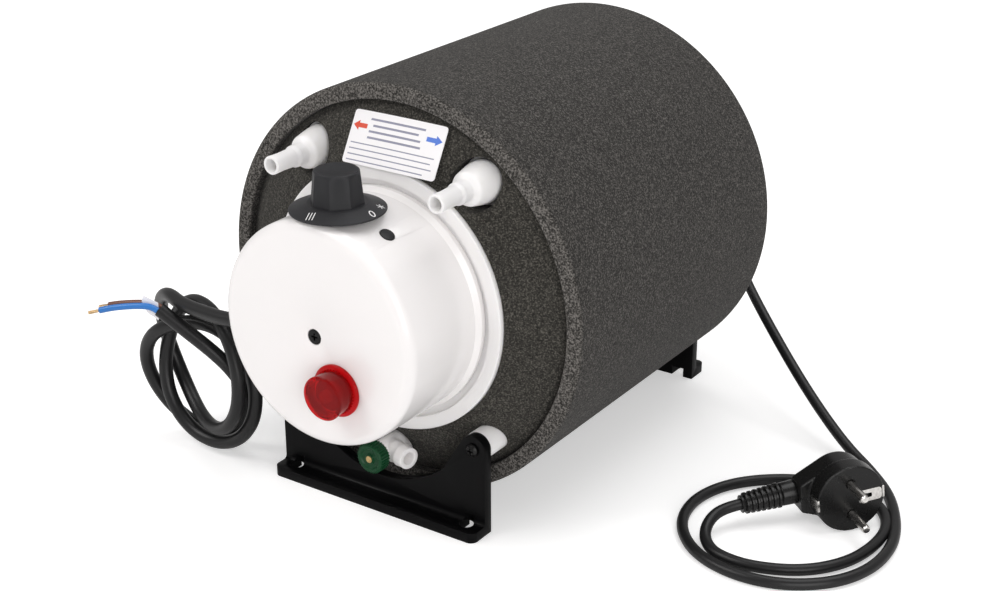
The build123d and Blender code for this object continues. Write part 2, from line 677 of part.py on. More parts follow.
def make_valve_seal():
    """Washer between the valve and the tank's boss."""
    disc = along(VALVE_BOSS_R, VALVE_BOSS_FACE, VALVE_BOSS_FACE + SEAL_T, 0, -VALVE_DROP)
    return disc - along(VALVE_SPIGOT_R + SEAL_BORE_GAP, VALVE_BOSS_FACE - OVERRUN,
                        VALVE_BOSS_FACE + SEAL_T + OVERRUN, 0, -VALVE_DROP)


def make_valve_knob():
    """Green hand wheel of the drain valve, with flutes round its rim."""
    foot = VALVE_FACE + VALVE_KNOB_GAP
    knob = along(VALVE_KNOB_R, foot, foot + VALVE_KNOB_T, 0, -VALVE_DROP)
    knob = fillet(circles_of(knob, VALVE_KNOB_R), RIM_EASE)
    for x, z in ring_places(VALVE_KNOB_FLUTES, VALVE_KNOB_R, 0):
        knob = knob - along(FLUTE_R, foot - OVERRUN, foot + VALVE_KNOB_T + OVERRUN,
                            x, z - VALVE_DROP)
    return knob - along(PLAY_R["spindle"], foot - OVERRUN, foot + VALVE_KNOB_T + OVERRUN,
                        0, -VALVE_DROP)


def make_valve_spindle():
    """Brass spindle that carries the hand wheel."""
    tip = VALVE_FACE + VALVE_KNOB_GAP + VALVE_KNOB_T + SPINDLE_PROUD
    return along(SPINDLE_R, SPINDLE_SEAT, tip, 0, -VALVE_DROP)


def make_gasket():
    """Flat ring between the tank's seat and the element flange."""
    ring = along(FLANGE_R, SEAT, SEAT + GASKET_T) - along(
        NECK_BORE_R, SEAT - OVERRUN, SEAT + GASKET_T + OVERRUN)
    for x, z in ring_places(FLANGE_BOLTS, FLANGE_BOLT_PITCH_R, FLANGE_BOLT_START):
        ring = ring - along(FLANGE_BOLT_R + PLAY, SEAT - OVERRUN, SEAT + GASKET_T + OVERRUN, x, z)
    return ring


def make_element_flange(with_pocket):
    """Steel plate that closes the tank's neck and carries the heating element."""
    foot = SEAT + GASKET_T
    plate = along(FLANGE_R, foot, FLANGE_FACE)
    for x, z in ring_places(FLANGE_BOLTS, FLANGE_BOLT_PITCH_R, FLANGE_BOLT_START):
        plate = plate - along(FLANGE_BOLT_R + PLAY, foot - OVERRUN, FLANGE_FACE + OVERRUN, x, z)
    for x in (-ELEMENT_HALF, ELEMENT_HALF):
        plate = plate - along(ELEMENT_R + PLAY, foot - OVERRUN, FLANGE_FACE + OVERRUN,
                              x, -ELEMENT_DROP)
    if with_pocket:
        plate = plate - along(POCKET_R + PLAY, foot - OVERRUN, FLANGE_FACE + OVERRUN,
                              0, POCKET_RISE)
    return plate


def make_flange_bolts():
    """Hexagon screws round one element flange."""
    bolts = []
    for x, z in ring_places(FLANGE_BOLTS, FLANGE_BOLT_PITCH_R, FLANGE_BOLT_START):
        shank = along(FLANGE_BOLT_R, SEAT - FLANGE_BOLT_DEPTH + RECESS_DEPTH, FLANGE_FACE, x, z)
        bolts.append(shank + hex_along(FLANGE_BOLT_AF, FLANGE_FACE,
                                       FLANGE_FACE + FLANGE_BOLT_HEAD, x, z))
    return bolts


def make_element():
    """U-shaped tubular heating element with a terminal pin on each leg."""
    top = FLANGE_FACE + ELEMENT_STUB
    z = AXIS_Z - ELEMENT_DROP
    ends = [(sx * ELEMENT_HALF, MID_Y - s, z) for sx, s in
            ((-1, top), (-1, ELEMENT_END + ELEMENT_HALF), (1, ELEMENT_END + ELEMENT_HALF), (1, top))]
    bottom = (0, MID_Y - ELEMENT_END, z)
    path = [Line(ends[0], ends[1]), ThreePointArc(ends[1], bottom, ends[2]), Line(ends[2], ends[3])]
    mouth = Plane(origin=ends[0], z_dir=(0, 1, 0))
    element = sweep(mouth * Circle(ELEMENT_R), path=Wire(Curve() + path))
    for x in (-ELEMENT_HALF, ELEMENT_HALF):
        element = element + along(TERMINAL_R, top, top + TERMINAL_LENGTH, x, -ELEMENT_DROP)
    return element


def make_element_nuts():
    """Nuts that hold the element's legs to the flange."""
    nuts = []
    for x in (-ELEMENT_HALF, ELEMENT_HALF):
        nut = hex_along(ELEMENT_NUT_AF, FLANGE_FACE, FLANGE_FACE + ELEMENT_NUT_T,
                        x, -ELEMENT_DROP)
        nuts.append(nut - along(ELEMENT_R + PLAY, FLANGE_FACE - OVERRUN,
                                FLANGE_FACE + ELEMENT_NUT_T + OVERRUN, x, -ELEMENT_DROP))
    return nuts


def make_pocket():
    """Closed sensor pocket that reaches into the water."""
    tube = along(POCKET_R, POCKET_END, FLANGE_FACE, 0, POCKET_RISE)
    tube = tube + along(POCKET_COLLAR_R, FLANGE_FACE, FLANGE_FACE + POCKET_COLLAR_T,
                        0, POCKET_RISE)
    return tube - along(POCKET_R - POCKET_WALL, POCKET_END + POCKET_WALL,
                        FLANGE_FACE + POCKET_COLLAR_T + OVERRUN, 0, POCKET_RISE)


def make_pillar():
    """Threaded pillar for the cover's centre screw."""
    post = along(PILLAR_R, FLANGE_FACE, PILLAR_TOP)
    return post - along(PILLAR_BORE_R + PLAY, PILLAR_TOP - COVER_SCREW_DEPTH - OVERRUN,
                        PILLAR_TOP + OVERRUN)


def make_terminal_block(side):
    """Terminal block on the element flange, with its screw wells."""
    x0 = side * BLOCK_X - BLOCK_W / 2
    body = block(x0, x0 + BLOCK_W, FLANGE_FACE, FLANGE_FACE + BLOCK_T,
                 BLOCK_RISE - BLOCK_H / 2, BLOCK_RISE + BLOCK_H / 2)
    for share in BLOCK_SCREW_SHARES:
        x = x0 + BLOCK_W * share
        body = body - along(BLOCK_SCREW_R, FLANGE_FACE + BLOCK_T - BLOCK_SCREW_DEPTH,
                            FLANGE_FACE + BLOCK_T + OVERRUN, x, BLOCK_RISE)
    return body


def make_cover_shell():
    """Round cover with a stepped foot, an inner screw boss and the sunk screw seat."""
    foot_top = SEAT + COVER_FOOT_T
    shell = turned(chain([(0, SEAT), (COVER_FOOT_R, SEAT), (COVER_FOOT_R, foot_top - RIM_STEP),
                          (COVER_R, foot_top), (COVER_R, COVER_FACE), (0, COVER_FACE)]))
    rim = [e for e in circles_of(shell, COVER_R) if e.center().Y < MID_Y - BRACKET_FACE]
    shell = fillet(rim, COVER_EDGE_R)
    core = along(COVER_BORE_R, SEAT - OVERRUN, COVER_INSIDE)
    core = fillet([e for e in circles_of(core, COVER_BORE_R)
                   if e.center().Y < MID_Y - BRACKET_FACE], COVER_EDGE_R - COVER_WALL)
    boss = along(SCREW_BOSS_R, PILLAR_TOP, COVER_INSIDE + COVER_WALL / 2)
    shell = shell - core + boss
    shell = shell - along(COVER_SCREW_R + PLAY, PILLAR_TOP - OVERRUN, COVER_FACE + OVERRUN)
    return shell - along(COUNTERBORE_R, COVER_FACE - COUNTERBORE_DEPTH, COVER_FACE + OVERRUN)


def thermostat_screw_reaches():
    """Reaches of the two screws that hold the thermostat under the cover."""
    return (KNOB_REACH - THERMO_SCREW_HALF, KNOB_REACH + THERMO_SCREW_HALF)


def make_front_cover():
    """Front cover with the thermostat pad and the holes for its fittings."""
    cover = make_cover_shell()
    pad = block(-PAD_HALF_W, PAD_HALF_W, KNOB_REACH - PAD_HALF_L, KNOB_REACH + PAD_HALF_L,
                PAD_RISE, COVER_R) & along(COVER_R - COVER_WALL / 2, SEAT, COVER_FACE)
    cover = cover + pad
    cover = cover - radial(BUSH_R + PLAY, PAD_RISE - OVERRUN, COVER_R + OVERRUN, 90, KNOB_REACH)
    for reach in thermostat_screw_reaches():
        cover = cover - radial(THERMO_SCREW_R + PLAY, PAD_RISE - OVERRUN, COVER_R + OVERRUN,
                               90, reach)
        cover = cover - radial(THERMO_HEAD_R + PLAY, COVER_R - THERMO_HEAD_H - HEAD_SINK,
                               COVER_R + OVERRUN, 90, reach)
    cover = cover - radial(RESET_HOLE_R, RESET_BODY_TOP, COVER_R + OVERRUN,
                           RESET_ANGLE, RESET_REACH)
    cover = cover - along(HOLDER_R + PLAY, COVER_INSIDE - OVERRUN, COVER_FACE + OVERRUN,
                          LAMP_X, -LAMP_DROP)
    return cover - radial(GLAND_NECK_R + PLAY, GLAND_FOOT, COVER_R + OVERRUN,
                          LOW_GLAND_ANGLE, GLAND_REACH)


def make_rear_cover():
    """Rear cover: the same shell with only the mains gland's hole."""
    cover = rear(make_cover_shell())
    return cover - rear(radial(GLAND_NECK_R + PLAY, GLAND_FOOT, COVER_R + OVERRUN,
                               MAINS_GLAND_ANGLE, GLAND_REACH))


def make_cover_screw():
    """Cross-recessed screw in the middle of a cover."""
    seat = COVER_FACE - COUNTERBORE_DEPTH
    screw = along(COVER_SCREW_R, PILLAR_TOP - COVER_SCREW_DEPTH, seat)
    screw = screw + along(COVER_HEAD_R, seat, seat + COVER_HEAD_H)
    return screw - cross_recess(RECESS_W, COVER_HEAD_R / 2, seat + COVER_HEAD_H)


def make_thermostat():
    """Thermostat case with its threaded bush under the knob."""
    case = block(-THERMOSTAT_HALF_W, THERMOSTAT_HALF_W, KNOB_REACH - THERMOSTAT_HALF_L,
                 KNOB_REACH + THERMOSTAT_HALF_L, PAD_RISE - THERMOSTAT_H, PAD_RISE)
    case = fillet(case.edges().filter_by(Axis.Z), OVERRUN)
    case = case + radial(BUSH_R, PAD_RISE, BUSH_TOP, 90, KNOB_REACH)
    foot = KNOB_TOP - SHAFT_CAP - SHAFT_LENGTH
    case = case - radial(PLAY_R["shaft"], foot - PLAY, BUSH_TOP + OVERRUN, 90, KNOB_REACH)
    for reach in thermostat_screw_reaches():
        case = case - radial(THERMO_SCREW_R + PLAY, COVER_R - THERMO_SCREW_LENGTH - OVERRUN,
                             PAD_RISE + OVERRUN, 90, reach)
    return case


def make_thermostat_screws():
    """Two screws hidden under the knob's skirt."""
    screws = []
    for reach in thermostat_screw_reaches():
        top = COVER_R - HEAD_SINK
        shank = radial(THERMO_SCREW_R, COVER_R - THERMO_SCREW_LENGTH, top - THERMO_HEAD_H,
                       90, reach)
        screws.append(shank + radial(THERMO_HEAD_R, top - THERMO_HEAD_H, top, 90, reach))
    return screws


def shaft_flat(r):
    """The space beyond the flat of the shaft, for a shaft of radius r."""
    size = Box(SHAFT_R * 2, SHAFT_R * 4, KNOB_TOP, align=(Align.MIN, Align.CENTER, Align.MIN))
    return Pos(r - SHAFT_FLAT, MID_Y - KNOB_REACH, AXIS_Z + SKIRT_RISE) * size


def make_shaft():
    """Thermostat shaft, flattened where the knob sits."""
    foot = KNOB_TOP - SHAFT_CAP - SHAFT_LENGTH
    bar = radial(SHAFT_R, foot, KNOB_TOP - SHAFT_CAP, 90, KNOB_REACH)
    return bar - shaft_flat(SHAFT_R)


def make_knob():
    """Faceted knob on a wide dished skirt, bored for the flattened shaft."""
    frame = radial_frame(SKIRT_RISE, 90, KNOB_REACH)
    skirt = frame * Cylinder(SKIRT_R, SKIRT_LIP, align=FROM_FOOT)
    crown = frame * (Pos(0, 0, SKIRT_LIP) * Cone(SKIRT_R, KNOB_R0 + SKIRT_T, SKIRT_T - SKIRT_LIP,
                                                 align=FROM_FOOT))
    low = frame * (Pos(0, 0, SKIRT_T) * RegularPolygon(KNOB_R0, KNOB_FACETS))
    high = frame * (Pos(0, 0, KNOB_TOP - SKIRT_RISE) * RegularPolygon(KNOB_R1, KNOB_FACETS))
    grip = loft([low, high])
    grip = fillet(grip.edges().group_by(Axis.Z)[-1], RIM_EASE)
    bore = frame * (Pos(0, 0, -OVERRUN) * Cylinder(
        PLAY_R["shaft"], KNOB_TOP - SHAFT_CAP - SKIRT_RISE + OVERRUN + PLAY, align=FROM_FOOT))
    return skirt + crown + grip - (bore - shaft_flat(PLAY_R["shaft"]))


def make_bulb():
    """Sensor bulb and the capillary tube that leads to the thermostat."""
    mouth_s = FLANGE_FACE + POCKET_COLLAR_T
    bulb_end = mouth_s - OVERRUN
    bulb = along(BULB_R, bulb_end - BULB_LENGTH, bulb_end, 0, POCKET_RISE)
    case_s = KNOB_REACH - THERMOSTAT_HALF_L
    case_z = PAD_RISE - THERMOSTAT_H / 2
    middle_s = (case_s + bulb_end) / 2
    points = [(0, MID_Y - bulb_end, AXIS_Z + POCKET_RISE), (0, MID_Y - middle_s, AXIS_Z + POCKET_RISE),
              (0, MID_Y - middle_s, AXIS_Z + case_z), (0, MID_Y - case_s, AXIS_Z + case_z)]
    path = FilletPolyline(*points, radius=CAPILLARY_BEND_R)
    return bulb + sweep(Plane(origin=points[0], z_dir=(0, -1, 0)) * Circle(CAPILLARY_R), path=path)


def make_cutout():
    """Thermal cut-out under the cover's wall, with the well of its reset button."""
    body = radial(RESET_BODY_R, RESET_BODY_FOOT, RESET_BODY_TOP, RESET_ANGLE, RESET_REACH)
    body = body + radial(RESET_NECK_R, RESET_BODY_TOP, RESET_NECK_TOP, RESET_ANGLE, RESET_REACH)
    return body - radial(PLAY_R["reset"], RESET_WELL, COVER_R, RESET_ANGLE, RESET_REACH)


def make_reset_button():
    """Black reset button that shows in the cover's side."""
    button = radial(RESET_R, RESET_FOOT, RESET_TOP, RESET_ANGLE, RESET_REACH)
    return fillet(circles_of(button, RESET_R)[-1:], RIM_EASE / 2)


def make_reset_spring():
    """Return spring of the reset button, as a plain sleeve."""
    sleeve = radial(RESET_SPRING_R, RESET_WELL, RESET_FOOT, RESET_ANGLE, RESET_REACH)
    return sleeve - radial(RESET_SPRING_R - RESET_SPRING_WALL, RESET_WELL - OVERRUN,
                           RESET_FOOT + OVERRUN, RESET_ANGLE, RESET_REACH)


def make_lens():
    """Red lamp lens: base ring, tube and a slightly proud front disc."""
    x, z = LAMP_X, -LAMP_DROP
    lens = along(LENS_BASE_R, COVER_FACE, COVER_FACE + LENS_BASE_T, x, z)
    lens = fillet(circles_of(lens, LENS_BASE_R), RIM_EASE / 2)
    lens = lens + along(LENS_R, COVER_FACE, LENS_FACE, x, z)
    lens = lens + along(LENS_R + LENS_LIP, LENS_FACE - LENS_LIP_T, LENS_FACE, x, z)
    return lens - along(LENS_R - LENS_WALL, COVER_FACE - OVERRUN, LENS_FACE - LENS_WALL, x, z)


def make_lamp_holder():
    """Lamp holder that passes through the cover's face."""
    return along(HOLDER_R, HOLDER_FOOT, HOLDER_TIP, LAMP_X, -LAMP_DROP)


def make_lamp_nut():
    """Ring nut behind the cover's face."""
    foot = COVER_INSIDE - HOLDER_NUT_T
    ring = along(HOLDER_NUT_R, foot, COVER_INSIDE, LAMP_X, -LAMP_DROP)
    return ring - along(HOLDER_R + PLAY, foot - OVERRUN, COVER_INSIDE + OVERRUN,
                        LAMP_X, -LAMP_DROP)


def make_lamp():
    """Lamp inside the lens."""
    bulb = along(LAMP_R, HOLDER_TIP, HOLDER_TIP + LAMP_LENGTH, LAMP_X, -LAMP_DROP)
    return fillet(circles_of(bulb, LAMP_R)[-1:], LAMP_R * HALF_SHARE)


def make_gland(angle, cable_r):
    """Cable gland: flange seated on the round wall, neck through it and a tapered tip."""
    frame = radial_frame(GLAND_FLANGE_TOP, angle, GLAND_REACH)
    flange = radial(GLAND_FLANGE_R, COVER_BORE_R, GLAND_FLANGE_TOP, angle, GLAND_REACH)
    flange = flange - along(COVER_R + PLAY, SEAT, COVER_FACE)
    neck = radial(GLAND_NECK_R, GLAND_FOOT, GLAND_FLANGE_TOP, angle, GLAND_REACH)
    tip = frame * Cone(GLAND_NECK_R, cable_r + GLAND_TIP_WALL, GLAND_TIP - GLAND_FLANGE_TOP,
                       align=FROM_FOOT)
    bore = radial(cable_r, GLAND_FOOT - OVERRUN, GLAND_TIP + OVERRUN, angle, GLAND_REACH)
    return flange + neck + tip - bore


def make_gland_nut(angle):
    """Nut on the gland's neck inside the cover."""
    foot = GLAND_NUT_TOP - GLAND_NUT_T
    nut = radial(GLAND_FLANGE_R, foot, GLAND_NUT_TOP, angle, GLAND_REACH)
    nut = nut & along(COVER_BORE_R - PLAY, SEAT, COVER_FACE)
    return nut - radial(GLAND_NECK_R + PLAY, foot - OVERRUN, GLAND_NUT_TOP + OVERRUN,
                        angle, GLAND_REACH)


def make_label():
    """Bent label plate that rests on the rim's edge and on the foam above it."""
    bulge = LABEL_RISE**2 / DOME_R / 8
    low_z = RIM_R
    low_s = max(RIM_FACE, dome(RIM_R, DOME_R) + bulge) + LABEL_GAP
    top_s = dome(LABEL_TOP, DOME_R) + LABEL_GAP
    rise, fall = LABEL_TOP - low_z, low_s - top_s
    slope = math.hypot(rise, fall)
    up = (0, fall / slope, rise / slope)
    foot = (LABEL_X, MID_Y - low_s - up[1] * LABEL_LAP, AXIS_Z + low_z - up[2] * LABEL_LAP)
    frame = Plane(origin=foot, x_dir=(1, 0, 0), z_dir=up)
    half = LABEL_W / 2 / LABEL_BEND_R

    def place(radius, angle):
        return (radius * math.sin(angle), LABEL_BEND_R - radius * math.cos(angle))

    outer = LABEL_BEND_R + LABEL_T
    band = make_face([
        ThreePointArc(place(outer, -half), place(outer, 0), place(outer, half)),
        Line(place(outer, half), place(LABEL_BEND_R, half)),
        ThreePointArc(place(LABEL_BEND_R, half), place(LABEL_BEND_R, 0), place(LABEL_BEND_R, -half)),
        Line(place(LABEL_BEND_R, -half), place(outer, -half)),
    ])
    sheet = extrude(frame * band, slope + LABEL_LAP)
    corners = [e for e in sheet.edges() if abs(e.length - LABEL_T) < PLAY]
    return fillet(corners, LABEL_CORNER_R)


# Low-voltage cable
def coil_axes():
    """Unit vectors of the coil: across, up and along its axis."""
    ahead = math.sqrt(1 - COIL_LEAN**2 - COIL_TILT**2)
    axis = Vector(COIL_LEAN, ahead, COIL_TILT)
    across = axis.cross(Vector(0, 0, 1)).normalized()
    if across.X < 0:
        across = across * -1
    up = across.cross(axis).normalized()
    return across, up, axis


def coil_offset(turns):
    """The cable's centre after so many turns, from the coil's centre."""
    across, up, axis = coil_axes()
    angle = math.radians(COIL_START) + 2 * math.pi * turns
    phase = math.radians(COIL_PHASE) + 2 * math.pi * COIL_TWIST * turns
    spread = COIL_SPREAD * (1 - COIL_FAN_SHARE * math.sin(angle))
    reach = COIL_R + spread * math.cos(phase)
    flat = across * (reach * math.cos(angle)) + up * (reach * math.sin(angle))
    return flat + axis * (spread * math.sin(phase))


def coil_point(turns):
    """The cable's centre after so many turns; the lowest strand lies on the floor."""
    steps = [i * COIL_TURNS / (COIL_SAMPLES - 1) for i in range(COIL_SAMPLES)]
    lowest = min(coil_offset(t).Z for t in steps)
    return Vector(COIL_X, COIL_Y, LOW_R + PLAY - lowest) + coil_offset(turns)


def coil_tangent(turns):
    """Direction of the cable after so many turns."""
    step = 1 / COIL_SAMPLES
    return (coil_offset(turns + step) - coil_offset(turns - step)).normalized()


def biarc(p0, t0, p1, t1):
    """Two tangent arcs from p0, leaving along t0, to p1, arriving along t1."""
    chord = p1 - p0
    both = t0 + t1
    k = 2 * (1 - t0.dot(t1))
    d = (math.sqrt(chord.dot(both)**2 + k * chord.dot(chord)) - chord.dot(both)) / k
    q0 = p0 + t0 * d
    q1 = p1 - t1 * d
    joint = (q0 + q1) * 0.5
    return [TangentArc(p0, joint, tangent=t0), TangentArc(joint, p1, tangent=(q1 - q0).normalized())]


def coil_path():
    """Centre line: straight out of the gland, about three turns in biarcs, a straight tail."""
    mouth = radial_frame(GLAND_TIP, LOW_GLAND_ANGLE, GLAND_REACH)
    stations = [i * COIL_TURNS / COIL_STATIONS for i in range(COIL_STATIONS + 1)]
    points = [mouth.origin + mouth.z_dir * LOW_R * 2] + [coil_point(t) for t in stations]
    ways = [mouth.z_dir] + [coil_tangent(t) for t in stations]
    edges = [Line(mouth.origin, points[0])]
    for i in range(len(points) - 1):
        edges += biarc(points[i], ways[i], points[i + 1], ways[i + 1])
    edges.append(Line(points[-1], points[-1] + ways[-1] * COIL_TAIL))
    return Wire(edges)


def tube_on(path, radius):
    """A round tube swept along a wire, closed at both ends."""
    return sweep(Plane(origin=path @ 0, z_dir=path % 0) * Circle(radius), path=path)


def corner_radii(points):
    """Arc radius at each corner: a share of the shorter run over the tangent of half the turn."""
    radii = []
    for a, b, c in zip(points, points[1:], points[2:]):
        run = min((b - a).length, (c - b).length)
        turn = math.radians((b - a).get_angle(c - b))
        radii.append(ARC_SHARE * run / math.tan(turn / 2))
    return radii


def routed_tube(name, points, radius):
    """A free stretch of cable: straight runs joined by tangent arcs."""
    points = [Vector(*p) for p in points]
    radii = corner_radii(points)
    path = Wire(FilletPolyline(*points, radius=radii).edges())
    tube = tube_on(path, radius)
    expected = math.pi * radius**2 * path.length
    print(name, "length", round(path.length, 1), "tightest", round(min(radii), 1),
          "volume ratio", round(tube.volume / expected, 4))
    return tube


def report_coil(path, tube):
    """Print the coil's length, volume check and the least gap to itself."""
    count = COIL_SAMPLES
    places = [path.position_at(i / (count - 1)) for i in range(count)]
    step = path.length / (count - 1)
    apart = int(COIL_R * 2 / step)
    least = min((places[i] - places[j]).length
                for i in range(0, count, 2) for j in range(i + apart, count, 2))
    low = min(p.Z for p in places) - LOW_R
    expected = math.pi * LOW_R**2 * path.length
    print("coil length", round(path.length, 1), "least gap", round(least - LOW_R * 2, 2),
          "lowest", round(low, 2), "volume ratio", round(tube.volume / expected, 4))


def core_route(side):
    """One core of the cable from the sheath's end to its bare tip, bending down by its weight."""
    path = coil_path()
    end, way = path @ 1, path % 1
    across = way.cross(Vector(0, 0, 1)).normalized()
    points = [end + way * SKIN_GAP + across * (side * CORE_SPACING / 2)]
    for run, drop, aside in CORE_STEPS:
        points.append(points[0] + way * run + across * (side * aside) - Vector(0, 0, drop))
    return points


def make_core(name, side):
    """Insulated core."""
    return routed_tube(name, core_route(side), CORE_R)


def make_core_tip(side):
    """Bare copper end of a core."""
    points = core_route(side)
    way = (points[-1] - points[-2]).normalized()
    return Plane(origin=points[-1], z_dir=way) * Cylinder(CORE_TIP_R, CORE_TIP, align=FROM_FOOT)


def make_tag():
    """Paper flag folded round one core close to the sheath."""
    points = core_route(1)
    way = (points[1] - points[0]).normalized()
    middle = points[0] + (points[1] - points[0]) * TAG_SHARE
    frame = Plane(origin=middle, x_dir=way.cross(Vector(0, 0, 1)).normalized(), z_dir=way)
    sleeve = Cylinder(CORE_R + TAG_T, TAG_W) - Cylinder(CORE_R + PLAY, TAG_W)
    flag = Pos(0, CORE_R + TAG_T / 2 + TAG_H / 2, 0) * Box(TAG_T, TAG_H, TAG_W)
    return frame * (sleeve + flag)


# Mains cable
PLUG_FRAME = Plane(origin=(PLUG_X, PLUG_Y, PLUG_Z), x_dir=PLUG_CABLE_SHARES,
                   z_dir=PLUG_FACE_SHARES)


def on_plug(shape):
    """Place a piece that was made in the plug's own frame."""
    return PLUG_FRAME * shape


def make_plug_body():
    """Round plug face with a hood behind it that leads to the cable's boot."""
    face = Pos(0, 0, -PLUG_FACE_T) * Cylinder(PLUG_R, PLUG_FACE_T, align=FROM_FOOT)
    outline = make_hull(Circle(PLUG_R - PLUG_EASE).edges()
                        + (Pos(HOOD_X, 0) * Rectangle(PLUG_EASE, HOOD_HALF * 2)).edges())
    hood = Pos(0, 0, -PLUG_BACK) * extrude(outline, PLUG_BACK - PLUG_FACE_T)
    hood = chamfer(hood.edges().group_by(Axis.Z)[0], PLUG_EASE * 2)
    body = face + hood
    for y in (-PIN_HALF, PIN_HALF):
        body = body - Pos(0, y, -PIN_ROOT) * Cylinder(PIN_R + PLAY, PIN_ROOT + OVERRUN,
                                                      align=FROM_FOOT)
    for side in (-1, 1):
        x = side * (PLUG_R - EARTH_T / 2)
        slot = Box(EARTH_T + PLAY, EARTH_W + PLAY, EARTH_DEPTH, align=(Align.CENTER, Align.CENTER,
                                                                     Align.MAX))
        body = body - Pos(x, 0, 0) * slot
    body = body - Pos(-EARTH_HOLE_X, 0, -EARTH_HOLE_DEPTH) * Cylinder(
        EARTH_HOLE_R, EARTH_HOLE_DEPTH + OVERRUN, align=FROM_FOOT)
    return on_plug(body)


def make_plug_pins():
    """Two round pins with rounded tips."""
    pins = []
    for y in (-PIN_HALF, PIN_HALF):
        pin = Pos(0, y, -PIN_ROOT) * Cylinder(PIN_R, PIN_ROOT + PIN_LENGTH, align=FROM_FOOT)
        pin = fillet(circles_of(pin, PIN_R)[-1:], PIN_R * FULL_ARC_SHARE)
        pins.append(on_plug(pin))
    return pins


def make_earth_clips():
    """Earth contact strips at the two sides of the plug's face."""
    clips = []
    for side in (-1, 1):
        strip = Box(EARTH_T, EARTH_W, EARTH_DEPTH, align=(Align.CENTER, Align.CENTER, Align.MAX))
        clips.append(on_plug(Pos(side * (PLUG_R - EARTH_T / 2), 0, 0) * strip))
    return clips


def boot_frame(distance):
    """Frame on the boot's axis, so far from the plug's middle."""
    return Plane(PLUG_FRAME * Plane(origin=(distance, 0, -BOOT_AXIS), x_dir=(0, 1, 0), z_dir=(1, 0, 0)))


def make_boot():
    """Ribbed strain relief between the plug and the cable."""
    start = HOOD_X + PLUG_EASE / 2
    boot = Cone(BOOT_R0, BOOT_R1, BOOT_LENGTH, align=FROM_FOOT)
    pitch = BOOT_LENGTH / BOOT_RIBS
    for i in range(BOOT_RIBS):
        foot = pitch * i
        radius = BOOT_R0 + (BOOT_R1 - BOOT_R0) * foot / BOOT_LENGTH
        boot = boot + Pos(0, 0, foot) * Cylinder(radius + BOOT_RIB_PROUD, pitch * BOOT_RIB_SHARE,
                                                 align=FROM_FOOT)
    return boot_frame(start) * boot


def mains_points():
    """Route of the mains cable, from the rear gland to the plug's boot."""
    exit_frame = radial_frame(GLAND_TIP, MAINS_GLAND_ANGLE, -GLAND_REACH)
    start, way = exit_frame.origin, exit_frame.z_dir
    boot_end = boot_frame(HOOD_X + PLUG_EASE / 2 + BOOT_LENGTH)
    finish, back = boot_end.origin, boot_end.z_dir
    route = [start, start + way * MAINS_START_RUN]
    route += [Vector(*p) for p in MAINS_ROUTE]
    route += [finish + back * MAINS_END_RUN, finish]
    return route


